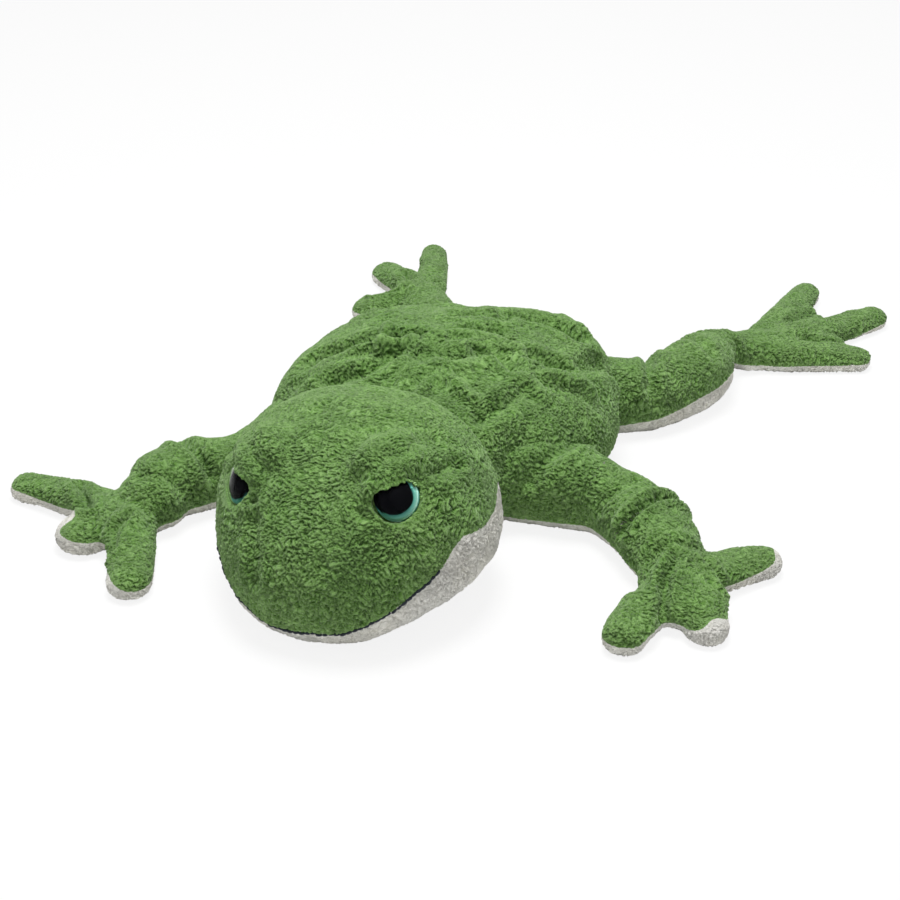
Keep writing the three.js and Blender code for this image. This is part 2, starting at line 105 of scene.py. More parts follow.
def put_points(piece, points):
    piece.data.vertices.foreach_set("co", np.ascontiguousarray(points).ravel())
    piece.data.update()


def into(matrix, points):
    """Points in metres, measured in another frame."""
    back = np.array(matrix.inverted())
    return points @ back[:3, :3].T + back[:3, 3]


def out_of(matrix, points):
    away = np.array(matrix)
    return points @ away[:3, :3].T + away[:3, 3]


def apply_modifier(piece, kind, **settings):
    pick(piece)
    modifier = piece.modifiers.new("step", kind)
    for name, value in settings.items():
        setattr(modifier, name, value)
    bpy.ops.object.modifier_apply(modifier=modifier.name)
    return piece


def soften(piece, rounds):
    return apply_modifier(piece, "SMOOTH", iterations=rounds, factor=0.5)


def new_ball(sides, rings):
    """A ball of radius 1 at the middle of the scene."""
    bpy.ops.mesh.primitive_uv_sphere_add(segments=sides, ring_count=rings, radius=1)
    return bpy.context.object


def joined(pieces):
    """Join pieces into the first of them."""
    bpy.ops.object.select_all(action="DESELECT")
    for piece in pieces:
        piece.select_set(True)
    bpy.context.view_layer.objects.active = pieces[0]
    bpy.ops.object.join()
    return pieces[0]


def reskin(piece, grain):
    """Wrap the piece in one even closed skin, so that joined balls of clay become one form."""
    pick(piece)
    piece.data.remesh_voxel_size = grain * MM
    bpy.ops.object.voxel_remesh()
    return piece


def eased(low, high, value):
    """0 below low, 1 above high, and a smooth slope between."""
    share = np.clip((value - low) / (high - low), 0, 1)
    return share * share * (3 - 2 * share)


def fuller(value, fullness=0.85):
    """Round numbers from -1 to 1 outward, which makes a ball a little boxy."""
    return np.sign(value) * np.abs(value) ** fullness


print("half way up an eased slope from 0 to 1:", eased(0, 1, 0.5))

# %% [markdown]
# The body and the head start as one ball each, like a lump of clay that is pulled to shape.
# Each ball lies along the frog, and its rings are pulled out to the widths and heights that the
# toy shows. Where a ball would go through the floor it is pressed flat, as the toy's weight does.

# %% Pull a ball into a swelling form
FLOOR_LIFT = 0.3
FLOOR_EDGE = 2.5


def pulled_ball(name, shares, rear, front, half_width, top, bottom, place):
    """Pull a ball out along the frog. A row of shares is how far along a ring is, and how much
    of the full width, height above the middle and depth under it the ball has there."""
    piece = new_ball(64, 48)
    piece.name = piece.data.name = name
    ball = points_of(piece)
    turn = np.arccos(np.clip(-ball[:, 2], -1, 1))
    around = np.arctan2(ball[:, 1], ball[:, 0])
    at = [0] + [math.acos(1 - 2 * row[0]) for row in shares] + [math.pi]
    wide, high, low = (np.interp(turn, at, [0] + [row[i] for row in shares] + [0])
                       for i in (1, 2, 3))
    rise = fuller(np.sin(around))
    along = -rear + (1 - np.cos(turn)) / 2 * (rear + front)
    across = half_width * wide * fuller(np.cos(around))
    up = np.where(rise > 0, top * high, bottom * low) * rise
    put_points(piece, out_of(place, np.column_stack([along, across, up])))
    pick(piece)
    bpy.ops.object.mode_set(mode="EDIT")
    bpy.ops.mesh.select_all(action="SELECT")
    bpy.ops.mesh.remove_doubles(threshold=0.05 * MM)
    bpy.ops.mesh.normals_make_consistent(inside=False)
    bpy.ops.object.mode_set(mode="OBJECT")
    return piece


def rest_on_floor(piece):
    """Flatten what is under the floor, with a soft edge."""
    points = points_of(piece)
    edge = FLOOR_EDGE / 2 * MM
    low = points[:, 2] - FLOOR_LIFT * MM
    points[:, 2] = FLOOR_LIFT * MM + (low + np.sqrt(low * low + edge * edge)) / 2
    put_points(piece, points)


print("soft pieces lie", FLOOR_LIFT, "mm above the floor")

# %% [markdown]
# An arm or leg is a row of balls of clay, each as wide and high as the limb is there.
# The rows follow the limb from the body to the hand, and one more row makes each finger or toe.
# Wrapped in one skin and smoothed, they become a single soft sleeve.

# %% Lay a row of balls along a limb
CLAY_STEP = 5
CLAY_FULLNESS = 0.92
UNDERSIDE = -1.5


def along_row(stations, step):
    """Stations every step millimetres on a smooth line through the given ones."""
    rows = np.array(stations, float)
    gaps = np.linalg.norm(np.diff(rows[:, :2], axis=0), axis=1)
    run = np.concatenate([[0], np.cumsum(gaps)])
    count = max(2, int(run[-1] / step) + 1)
    at = np.linspace(0, run[-1], count)
    slopes = np.gradient(rows, run, axis=0)
    made = []
    for value in at:
        i = min(np.searchsorted(run, value, side="right") - 1, len(run) - 2)
        span = run[i + 1] - run[i]
        s = (value - run[i]) / span
        made.append((2 * s**3 - 3 * s**2 + 1) * rows[i] + (s**3 - 2 * s**2 + s) * span * slopes[i]
                    + (3 * s**2 - 2 * s**3) * rows[i + 1] + (s**3 - s**2) * span * slopes[i + 1])
    return np.array(made)


def clay_ball(forward, left, half_width, top, low):
    piece = new_ball(20, 12)
    ball = fuller(points_of(piece), CLAY_FULLNESS)
    half = (top - low) / 2
    ball = ball * [half_width, half_width, half] + [forward, left, low + half]
    put_points(piece, out_of(FROG, ball))
    return piece


def clay_rows(name, rows):
    """The last number of a station is its underside, which lies on the floor if it is left out."""
    rows = [[(*station, UNDERSIDE)[:5] for station in row] for row in rows]
    piece = joined([clay_ball(*ball) for row in rows for ball in along_row(row, CLAY_STEP)])
    piece.name = piece.data.name = name
    return piece


print("a row of 100 mm takes", len(along_row([(0, 0), (100, 0)], CLAY_STEP)), "balls of clay")

# %% [markdown]
# Loosely filled fabric lies in folds. A fold is a line on the form where the skin is pushed in,
# with a low swelling beside it. Dents and bumps are the same thing round one point.

# %% Fold, dent and swell a form
LIP_AWAY = 2.1
LIP_SHARE = 0.45
FACING_UP = (0.05, 0.35)


def distance_to(points, line):
    """How far each point is from a line of places, all in one frame."""
    best = np.full(len(points), 1e9)
    for a, b in zip(line[:-1], line[1:]):
        span = b - a
        share = np.clip(((points - a) @ span) / (span @ span), 0, 1)
        best = np.minimum(best, np.linalg.norm(points - a - share[:, None] * span, axis=1))
    return best


def fold(piece, line, width, depth, place=FROG, flat=True):
    """Push the skin in along a line, in millimetres, and let it swell on both sides."""
    points = points_of(piece)
    here = into(place, points)
    line = np.array(line, float)
    facing = normals_of(piece)
    if flat:
        gap = distance_to(here[:, :2], line[:, :2])
        reach = eased(*FACING_UP, facing[:, 2])
    else:
        gap = distance_to(here, line)
        reach = 1
    beside = np.exp(-(((gap - LIP_AWAY * width) / width) ** 2))
    inward = np.exp(-((gap / width) ** 2)) - LIP_SHARE * beside
    put_points(piece, points - facing * (inward * reach * depth * MM)[:, None])


def swell(piece, centre, radius, height, place=FROG):
    """Raise a soft bump round one place, or a dent if the height is under zero."""
    points = points_of(piece)
    gap = np.linalg.norm(into(place, points) - centre, axis=1)
    rise = np.exp(-((gap / radius) ** 2)) * height * MM
    put_points(piece, points + normals_of(piece) * rise[:, None])


def shove(piece, centre, radius, move, place=FROG):
    """Push a whole region one way, as a hand does with a loosely filled bag."""
    here = into(place, points_of(piece))
    gap = np.linalg.norm(here - centre, axis=1)
    put_points(piece, out_of(place, here + np.exp(-((gap / radius) ** 2))[:, None] * move))


print("beside a fold the skin swells by", LIP_SHARE, "of its depth")

# %% [markdown]
# ## The pile
# The fabric is a short curly fleece. Its fibres stand in small tufts that lean over and curl into
# each other, with narrow dark valleys between them. Strands of hair could show that too, but a mesh
# keeps it wherever the toy is used, so the tufts are real relief, raised by a tree of nodes.
# These are the small steps that the trees of this file are wired from.

# %% Small steps for a tree of nodes
def link_into(tree, node, name, value):
    if isinstance(value, bpy.types.NodeSocket):
        tree.links.new(value, node.inputs[name])
    else:
        node.inputs[name].default_value = value


def vector_step(tree, operation, first, second=None, scale=None):
    node = tree.nodes.new("ShaderNodeVectorMath")
    node.operation = operation
    link_into(tree, node, 0, first)
    if second is not None:
        link_into(tree, node, 1, second)
    if scale is not None:
        link_into(tree, node, "Scale", scale)
    return node.outputs[0]


def number_step(tree, operation, first, second):
    node = tree.nodes.new("ShaderNodeMath")
    node.operation = operation
    link_into(tree, node, 0, first)
    link_into(tree, node, 1, second)
    return node.outputs[0]


def noise_step(tree, where, scale, detail, colour=False):
    node = tree.nodes.new("ShaderNodeTexNoise")
    link_into(tree, node, "Vector", where)
    node.inputs["Scale"].default_value = scale
    node.inputs["Detail"].default_value = detail
    return node.outputs["Color" if colour else "Fac"]


def ranged_step(tree, value, low, high, out_low=0.0, out_high=1.0):
    node = tree.nodes.new("ShaderNodeMapRange")
    node.interpolation_type = "SMOOTHSTEP"
    link_into(tree, node, "Value", value)
    node.inputs["From Min"].default_value = low
    node.inputs["From Max"].default_value = high
    node.inputs["To Min"].default_value = out_low
    node.inputs["To Max"].default_value = out_high
    return node.outputs["Result"]


def mixed_step(tree, first, second, share):
    """Share of the first number, and the rest of the second."""
    return number_step(tree, "ADD", number_step(tree, "MULTIPLY", first, share),
                       number_step(tree, "MULTIPLY", second, 1 - share))


def sway_step(tree, where, scale, detail):
    """A direction that wanders over the surface, from noise with its middle taken off."""
    noise = noise_step(tree, where, scale, detail, colour=True)
    return vector_step(tree, "SUBTRACT", noise, (0.5, 0.5, 0.5))


print("seven small steps for node trees")

# %% [markdown]
# The fabric is combed one way when it is made, and `COMBED` is that way. So the tufts lie in short
# rows across it. Wandering noise pushes the rows about first, and no two tufts come out alike.

# %% Waves and combed rows
COMBED = (0.2, -0.6, -0.78)
BROAD_WAVES, BROAD_PUSH = 45, 0.018
TIGHT_WAVES, TIGHT_PUSH = 160, 0.005


def wavy_place(tree, where):
    """The place, pushed about so that whatever is drawn on it runs in waves."""
    place = where
    for waves, push in ((BROAD_WAVES, BROAD_PUSH), (TIGHT_WAVES, TIGHT_PUSH)):
        sway = vector_step(tree, "SCALE", sway_step(tree, where, waves, 1), scale=push)
        place = vector_step(tree, "ADD", place, sway)
    return place


def combed_rows(tree, where, gap, scale, stray):
    """Short rows across the combed way, each ending in a narrow valley. The finish paints it dark as
    shade.
    """
    along = tree.nodes.new("ShaderNodeVectorMath")
    along.operation = "DOT_PRODUCT"
    tree.links.new(where, along.inputs[0])
    along.inputs[1].default_value = [share / gap for share in COMBED]
    strayed = number_step(tree, "MULTIPLY", noise_step(tree, where, scale, 1), stray)
    rows = number_step(tree, "FRACT", number_step(tree, "ADD", along.outputs["Value"], strayed), 0)
    swelling, valley = ranged_step(tree, rows, 0, 0.5), ranged_step(tree, rows, 1, 0.82)
    return number_step(tree, "MULTIPLY", swelling, valley)


print("the waves are about", round(1000 / BROAD_WAVES), "and", round(1000 / TIGHT_WAVES), "mm long")

# %% [markdown]
# This tool is what every plush piece passes through. It lifts each point along its normal by the
# height of the tuft there, and leans it over in the combed way. It stores that height as the
# attribute "pile", from which the finish paints shade into the valleys and light onto the tips.

# %% A tool that raises the pile
ROW_GAP = 2.1
ROWS_STRAY = (480, 3.2)
CURLS = 620
TUFT_SHARE = 0.66
SKIN_LEVEL = 0.62
SWAY = 90
LEAN_SHARE = 0.45


def pile_raiser():
    tree = bpy.data.node_groups.new("raise the pile", "GeometryNodeTree")
    for name, way, kind in (("Geometry", "INPUT", "Geometry"), ("Tuft height", "INPUT", "Float"),
                            ("Lean", "INPUT", "Float"), ("Geometry", "OUTPUT", "Geometry")):
        tree.interface.new_socket(name, in_out=way, socket_type="NodeSocket" + kind)
    given = tree.nodes.new("NodeGroupInput")
    result = tree.nodes.new("NodeGroupOutput")
    where = tree.nodes.new("GeometryNodeInputPosition").outputs[0]
    facing = tree.nodes.new("GeometryNodeInputNormal").outputs[0]
    nap = tree.nodes.new("GeometryNodeInputNamedAttribute")
    nap.data_type = "FLOAT"
    nap.inputs["Name"].default_value = "nap"

    waves = wavy_place(tree, where)
    tufts = combed_rows(tree, waves, ROW_GAP * MM, *ROWS_STRAY)
    curls = ranged_step(tree, noise_step(tree, waves, CURLS, 1), 0.3, 0.7)
    height = mixed_step(tree, tufts, curls, TUFT_SHARE)

    store = tree.nodes.new("GeometryNodeStoreNamedAttribute")
    store.data_type = "FLOAT"
    store.domain = "POINT"
    store.inputs["Name"].default_value = "pile"
    tree.links.new(given.outputs["Geometry"], store.inputs["Geometry"])
    tree.links.new(height, store.inputs["Value"])

    standing = number_step(tree, "MULTIPLY", number_step(tree, "SUBTRACT", height, SKIN_LEVEL),
                           given.outputs["Tuft height"])
    drift = vector_step(tree, "ADD", sway_step(tree, where, SWAY, 0),
                        [LEAN_SHARE * share for share in COMBED])
    leaning = vector_step(tree, "SCALE", drift,
                          scale=number_step(tree, "MULTIPLY", height, given.outputs["Lean"]))
    raised = vector_step(tree, "ADD", vector_step(tree, "SCALE", facing, scale=standing), leaning)
    offset = vector_step(tree, "SCALE", raised, scale=nap.outputs["Attribute"])
    move = tree.nodes.new("GeometryNodeSetPosition")
    tree.links.new(store.outputs["Geometry"], move.inputs["Geometry"])
    tree.links.new(offset, move.inputs["Offset"])
    tree.links.new(move.outputs["Geometry"], result.inputs["Geometry"])
    return tree


PILE_TOOL = pile_raiser()
print("the pile tool has", len(PILE_TOOL.nodes), "nodes")

# %% [markdown]
# A piece goes through the tool with a number at each point, its nap. It is 1 where the pile is full
# and 0 where the fabric is bare, as round the eyes. Tufts pressed into the floor are laid flat on it.

# %% Raise the pile of a piece
TUFT_HEIGHT = 1.65
TUFT_LEAN = 1.8
LOWEST = 0.15


def raise_pile(piece, nap):
    """Pass a piece through the pile tool. Nap is how much pile each point has, from 0 to 1."""
    weight = piece.data.attributes.new("nap", "FLOAT", "POINT")
    weight.data.foreach_set("value", nap.astype(np.float32))
    pick(piece)
    step = piece.modifiers.new("pile", "NODES")
    step.node_group = PILE_TOOL
    names = {item.name: item.identifier for item in PILE_TOOL.interface.items_tree
             if item.in_out == "INPUT"}
    step[names["Tuft height"]] = TUFT_HEIGHT * MM
    step[names["Lean"]] = TUFT_LEAN * MM
    bpy.ops.object.modifier_apply(modifier=step.name)
    points = points_of(piece)
    points[:, 2] = np.maximum(points[:, 2], LOWEST * MM)
    put_points(piece, points)


print("a full tuft stands", TUFT_HEIGHT, "mm high, in rows", ROW_GAP, "mm apart")

# %% [markdown]
# ## The finishes
# Every finish is procedural: noise and ramps of colour in place of pictures. These steps make a new
# material, turn a number into a colour, and turn a height into a bump.

# %% Small steps for finishes
def new_finish(name):
    """A new material, its node tree and its shader."""
    material = bpy.data.materials.new(name)
    material.use_nodes = True
    tree = material.node_tree
    return material, tree, tree.nodes["Principled BSDF"]


def ramp_step(tree, value, stops):
    """A colour for a number. It runs through the stops, each a number and its colour."""
    ramp = tree.nodes.new("ShaderNodeValToRGB")
    elements = ramp.color_ramp.elements
    elements.remove(elements[0])
    elements[0].position = stops[0][0]
    elements[0].color = (*stops[0][1], 1)
    for position, colour in stops[1:]:
        elements.new(position).color = (*colour, 1)
    tree.links.new(value, ramp.inputs["Fac"])
    return ramp.outputs["Color"]


def bump_step(tree, height, strength, distance):
    bump = tree.nodes.new("ShaderNodeBump")
    bump.inputs["Strength"].default_value = strength
    bump.inputs["Distance"].default_value = distance * MM
    tree.links.new(height, bump.inputs["Height"])
    return bump.outputs["Normal"]


def object_place(tree):
    return tree.nodes.new("ShaderNodeTexCoord").outputs["Object"]


print("four small steps for finishes")

# %% [markdown]
# Both fabrics share one pattern group. Light is painted on the tips of the tufts and shade in the
# valleys between them, a slow drift of tone runs over the whole toy, and fine fibres break up
# each tuft.

# %% The pile's pattern
LOCK_GAP = 1.05
LOCKS_STRAY = (900, 3.1)
FIBRES = 2400
LOCK_SHARE = 0.6
DRIFT = 38
PILE_SHARE = 0.58


def pile_pattern():
    tree = bpy.data.node_groups.new("curly pile pattern", "ShaderNodeTree")
    tree.interface.new_socket("Place", in_out="INPUT", socket_type="NodeSocketVector")
    tree.interface.new_socket("Pile height", in_out="INPUT", socket_type="NodeSocketFloat")
    for name in ("Shade", "Drift", "Relief"):
        tree.interface.new_socket(name, in_out="OUTPUT", socket_type="NodeSocketFloat")
    given = tree.nodes.new("NodeGroupInput")
    result = tree.nodes.new("NodeGroupOutput")
    place = given.outputs["Place"]
    waves = wavy_place(tree, place)
    locks = combed_rows(tree, waves, LOCK_GAP * MM, *LOCKS_STRAY)
    fibres = mixed_step(tree, locks, noise_step(tree, waves, FIBRES, 2), LOCK_SHARE)
    # Shade is painted: shade in the valleys and light on the tips, from the pile's height and the rows
    # of locks, mixed with the fibres' own tone.
    shade = mixed_step(tree, given.outputs["Pile height"], fibres, PILE_SHARE)
    tree.links.new(shade, result.inputs["Shade"])
    tree.links.new(noise_step(tree, place, DRIFT, 2), result.inputs["Drift"])
    tree.links.new(fibres, result.inputs["Relief"])
    return tree


PILE_PATTERN = pile_pattern()
print("the pattern gives", [item.name for item in PILE_PATTERN.interface.items_tree
                            if item.in_out == "OUTPUT"])

# %% [markdown]
# A plush is rough and has almost no gloss. Its sheen is the pale rim that short fibres show where
# the surface turns away. Green and cream differ only in their colours, so one recipe makes both.

# %% The two plush fabrics
def plush(name, valley, middle, tip_painted_light, drift_low, drift_high, sheen, sheen_tint):
    material, tree, shader = new_finish(name)
    height = tree.nodes.new("ShaderNodeAttribute")
    height.attribute_name = "pile"
    pattern = tree.nodes.new("ShaderNodeGroup")
    pattern.node_tree = PILE_PATTERN
    tree.links.new(object_place(tree), pattern.inputs["Place"])
    tree.links.new(height.outputs["Fac"], pattern.inputs["Pile height"])
    # The valley colour is painted shade and the tip colour painted light.
    colour = ramp_step(tree, pattern.outputs["Shade"], [(0.2, valley), (0.5, middle), (0.9, tip_painted_light)])
    tint = ramp_step(tree, pattern.outputs["Drift"], [(0.35, drift_low), (0.65, drift_high)])
    mix = tree.nodes.new("ShaderNodeMix")
    mix.data_type = "RGBA"
    mix.blend_type = "MULTIPLY"
    mix.inputs["Factor"].default_value = 1
    tree.links.new(colour, mix.inputs["A"])
    tree.links.new(tint, mix.inputs["B"])
    tree.links.new(mix.outputs["Result"], shader.inputs["Base Color"])
    tree.links.new(bump_step(tree, pattern.outputs["Relief"], 0.9, 0.6), shader.inputs["Normal"])
    shader.inputs["Roughness"].default_value = 0.95
    shader.inputs["Specular IOR Level"].default_value = 0.15
    shader.inputs["Sheen Weight"].default_value = sheen
    shader.inputs["Sheen Roughness"].default_value = 0.45
    shader.inputs["Sheen Tint"].default_value = (*sheen_tint, 1)
    return material


# In both fabrics the valley colour is painted shade, the tip colour painted light.
GREEN = plush("green plush", valley=(0.02, 0.062, 0.006), middle=(0.122, 0.25, 0.052),
              tip_painted_light=(0.258, 0.435, 0.145), drift_low=(0.86, 0.9, 0.82), drift_high=(1.0, 1.0, 0.98),
              sheen=0.4, sheen_tint=(0.8, 1.0, 0.68))
CREAM = plush("cream plush", valley=(0.66, 0.65, 0.58), middle=(0.79, 0.78, 0.72),
              tip_painted_light=(0.86, 0.85, 0.8), drift_low=(0.94, 0.93, 0.9), drift_high=(1.0, 1.0, 1.0),
              sheen=0.2, sheen_tint=(1.0, 1.0, 0.95))
print("two fabrics:", GREEN.name, "and", CREAM.name)

# %% [markdown]
# ## From form to plush
# Every stuffed piece is finished in the same way. The skin is made fine enough to hold a tuft,
# folded, laid on the floor and made finer still. The pile is raised, less of it at the seam,
# where the stitches pull it down, and on the cream side, where it is shorter.

# %% Finish a form as plush
GRAIN = 1.2
SEAM_DIP, SEAM_WIDTH = 0.75, 1.2
CREAM_NAP = 0.6


def dress(piece, above_seam, folds, nap=None):
    """Give a form its fine skin, folds, pile and two fabrics. Under the seam it is cream."""
    reskin(piece, GRAIN)
    soften(piece, 4)
    folds(piece)
    rest_on_floor(piece)
    apply_modifier(piece, "SUBSURF", levels=1, render_levels=1)
    points = points_of(piece)
    weight = np.ones(len(points)) if nap is None else nap(points)
    above = above_seam(points)
    weight = weight * (1 - SEAM_DIP * np.exp(-((above / SEAM_WIDTH) ** 2)))
    raise_pile(piece, weight * np.where(above < 0, CREAM_NAP, 1))
    piece.data.materials.clear()
    piece.data.materials.append(GREEN)
    piece.data.materials.append(CREAM)
    faces = len(piece.data.polygons)
    first = np.empty(faces, np.int32)
    piece.data.polygons.foreach_get("loop_start", first)
    corners = np.empty(len(piece.data.loops), np.int32)
    piece.data.loops.foreach_get("vertex_index", corners)
    middle = above[corners[first]] + above[corners[first + 2]]
    piece.data.polygons.foreach_set("material_index", (middle < 0).astype(np.int32))
    pick(piece)
    bpy.ops.object.shade_smooth()
    print(piece.name, "has", faces, "faces")


print("the skins' grain is", GRAIN, "mm before they are made finer")

# %% [markdown]
# ## Body
# The body is a loose bag, widest in the middle and low at the rump. Long folds run over its back
# from both shoulders, because the filling has settled to the sides. A cloth simulation would make
# folds too, but other ones. Here each fold is drawn as a line, so it lies where the toy has it.

# %% The body's form
BODY_SHARES = [
    (0.02, 0.36, 0.34, 0.5), (0.09, 0.66, 0.62, 0.84), (0.22, 0.9, 0.88, 1), (0.38, 1, 0.99, 1),
    (0.55, 0.99, 1, 1), (0.71, 0.89, 0.92, 1), (0.86, 0.7, 0.7, 0.94), (0.97, 0.42, 0.44, 0.7),
]
BODY_MIDDLE = 24
BODY_SEAM = 9
BODY_PUSHES = [
    ((25, -80, 26), 42, (0, -13, 0)), ((-72, 42, 40), 34, (-5, 5, 6)),
    ((-78, -30, 44), 34, (5, 0, -4)), ((-14, 78, 16), 28, (0, 5, 0)),
]
body = pulled_ball("body_skin", BODY_SHARES, rear=86, front=72, half_width=80, top=47, bottom=25.5,
                   place=FROG @ Matrix.Translation((0, 0, BODY_MIDDLE)))
for centre, radius, move in BODY_PUSHES:
    shove(body, centre, radius, move)
print("the body is", round(np.ptp(points_of(body)[:, 0]) / MM), "mm across before it is folded")

# %% [markdown]
# Each fold is a line of places seen from above, with its width and its depth in millimetres.
# A depth under zero makes a ridge. A dent is a place, its radius and how far the skin rises there.

# %% The body's folds
BODY_FOLDS = [
    ([(19, -64), (14, -48), (6, -37), (5, -21), (4, -11)], 4, 4.6), ([(5, -24), (4, -16)], 4.5, 3),
    ([(37, -47), (32, -31), (25, -23), (17, -17)], 3.6, 4),
    ([(20, -66), (17, -38), (12, -18), (4, -6), (-4, 1), (-7, 16), (-7, 26), (-6, 39)], 2.6, -2.6),
    ([(18, -6), (13, 2)], 4.5, 3), ([(14, 9), (8, 19)], 4, 3.6), ([(4, 18), (3, 29), (9, 39)], 3, 3.8),
    ([(-13, 7), (-17, 22)], 3.2, 3.8), ([(-37, 18), (-45, 32), (-46, 45), (-44, 56)], 4, 4.4),
    ([(-8, 43), (-9, 58)], 3.4, 4), ([(42, 2), (31, 6)], 2.5, -2.2), ([(28, 10), (36, 27)], 2.5, -2.2),
    ([(3, 54), (-11, 72)], 2.8, -2.8), ([(56, 50), (46, 52), (22, 55)], 4, 2),
    ([(16, -27), (0, -31), (-14, -33)], 2.4, -2), ([(-28, -6), (-34, 8), (-30, 20)], 3.2, 3.4),
    ([(-24, -50), (-44, -38), (-58, -20)], 3.6, 3.4), ([(-62, 6), (-66, 24)], 3.2, 2.8),
    ([(-20, 64), (-38, 70)], 3.6, 3.4), ([(44, 34), (30, 44), (20, 48)], 3.4, 3.4),
    ([(46, -56), (52, -68), (46, -82)], 4.5, 5), ([(-44, 76), (-58, 62), (-72, 48)], 4, 4),
]
BODY_DENTS = [
    ((4, 55, 34), 11, -5), ((-4, 60, 32), 8, -3), ((24, 54, 34), 9, -4), ((44, 52, 34), 9, -3.5),
    ((38, 38, 38), 9, -3), ((24, 22, 42), 9, -3), ((18, -3, 44), 9, -2.5), ((18, -30, 42), 9, -2.5),
]


def fold_along(piece, folds):
    for line, width, depth in folds:
        fold(piece, line, width, depth)


def fold_body(piece):
    fold_along(piece, BODY_FOLDS)
    for centre, radius, height in BODY_DENTS:
        swell(piece, centre, radius, height)


def body_seam(points):
    return into(FROG, points)[:, 2] - BODY_SEAM


dress(body, body_seam, fold_body)

# %% [markdown]
# ## Head
# The head is a broad egg with a blunt snout, turned a little to its right and tilted.
# It lies on its chin in front of the body. It is pulled from one ball, as the body is.

# %% The head's form
HEAD_SHARES = [
    (0.02, 0.34, 0.4, 0.36), (0.1, 0.66, 0.74, 0.66), (0.24, 0.91, 0.95, 0.96), (0.41, 1, 1, 1),
    (0.58, 0.98, 0.92, 1), (0.74, 0.83, 0.73, 1), (0.88, 0.62, 0.47, 0.98), (0.97, 0.35, 0.22, 0.7),
]
HEAD_MIDDLE = -10
head = pulled_ball("head_skin", HEAD_SHARES, rear=26, front=95, half_width=65, top=60, bottom=30.5,
                   place=HEAD @ Matrix.Translation((0, 0, HEAD_MIDDLE)))
print("the head is", round(np.ptp(points_of(head)[:, 0]) / MM), "mm across")

# %% [markdown]
# Each eye looks outward and a little up from its seat on the head.
# Its own frame has the eye's middle at zero, X to the left, Y up the face and Z the way it looks.
# The solids say where the eyes are. The photograph has them a little further out, hence the shift.

# %% Where the eyes sit
EYE_OUTWARD, EYE_UPWARD = math.radians(52), math.radians(26)
PUPIL_MIDDLE = 4.3
SEAT_SHIFT = (1.6, 0.8)
OUTER = {"left": 1, "right": -1}


def eye_seat(side):
    outward = OUTER[side] * EYE_OUTWARD
    level = math.cos(EYE_UPWARD)
    turned = HEAD.to_3x3().normalized()
    looks = turned @ Vector((math.cos(outward) * level, math.sin(outward) * level,
                             math.sin(EYE_UPWARD)))
    up = turned @ Vector((0, 0, 1))
    up = (up - looks * up.dot(looks)).normalized()
    pupil = points_of(frame["nodes"][f"{side}_eye_pupil"])
    middle = Vector(pupil.max(axis=0) + pupil.min(axis=0)) / 2 - looks * PUPIL_MIDDLE * MM
    middle += (up.cross(looks) * OUTER[side] * SEAT_SHIFT[0] + up * SEAT_SHIFT[1]) * MM
    axes = Matrix((up.cross(looks), up, looks)).transposed().to_4x4()
    return Matrix.Translation(middle) @ axes @ Matrix.Scale(MM, 4)


SEATS = {side: eye_seat(side) for side in OUTER}
for side, seat in SEATS.items():
    print("the", side, "eye is at", [round(v, 3) for v in seat.translation])

# %% [markdown]
# The brows are rolls of clay, laid above and behind the eyes so that the fabric hangs over them a
# little. The head and its rolls are joined and wrapped in one skin, and softened until no edge shows.

# %% The brows
BROW = [(-9, 8.2, -1, 4.6), (-3, 9.9, 0.9, 5.6), (3, 11.4, 1.5, 6), (9, 12.6, 0.8, 6.2),
        (16, 13, -1.8, 6), (25, 11, -6, 5)]
BROW_BACK = [(-4, 18, -6.5, 7.5), (4, 20, -6.5, 8.5), (13, 20, -7.5, 8)]
BROW_STEP = 3
CLAY_GRAIN = 2
rolls = [head]
for side, seat in SEATS.items():
    for row in (BROW, BROW_BACK):
        for x, y, z, radius in along_row(row, BROW_STEP):
            roll = new_ball(20, 12)
            put_points(roll, out_of(seat, points_of(roll) * radius + [OUTER[side] * x, y, z]))
            rolls.append(roll)
joined(rolls)
reskin(head, CLAY_GRAIN)
soften(head, 8)
print("the head with its brows has", len(head.data.vertices), "points")

# %% [markdown]
# The fabric gives way to the eye. Skin that would be inside the eye is pressed down behind it,
# and skin of the brow that hangs over it is laid on the dome.

# %% Room for the eyes
EYE_REACH = 10.7
EYE_BED = -0.8
DOME_FOOT, DOME_RISE = 2.2, 5.7
HANGS_FROM, HANGS_SHARE = 2, 0.62


def dome_height(radius):
    return DOME_FOOT + DOME_RISE * np.sqrt(np.clip(1 - (radius / EYE_REACH) ** 2, 0, 1))


def clear_the_eyes(piece):
    points = points_of(piece)
    for seat in SEATS.values():
        here = into(seat, points)
        radius = np.hypot(here[:, 0], here[:, 1])
        dome = dome_height(radius)
        inside = (radius < EYE_REACH) & (here[:, 2] > EYE_BED) & (here[:, 2] < dome)
        over = inside & (here[:, 2] > dome * HANGS_SHARE) & (here[:, 1] > HANGS_FROM)
        under = inside & ~over
        here[over, 2] = dome[over]
        here[under, 2] = EYE_BED
        points[inside] = out_of(seat, here[inside])
    put_points(piece, points)


print("the skin leaves a pocket", 2 * EYE_REACH, "mm wide for each eye")

# %% [markdown]
# The snout is creased on its right. Each side of the head has a small crease in front of its eye,
# one behind it, and a tear line that runs down beside it.
# The seam drops from the cheek to the front of the snout, where the mouth is sewn along it.
# Close round the eyes the pile is short, because the eye is pressed into it.

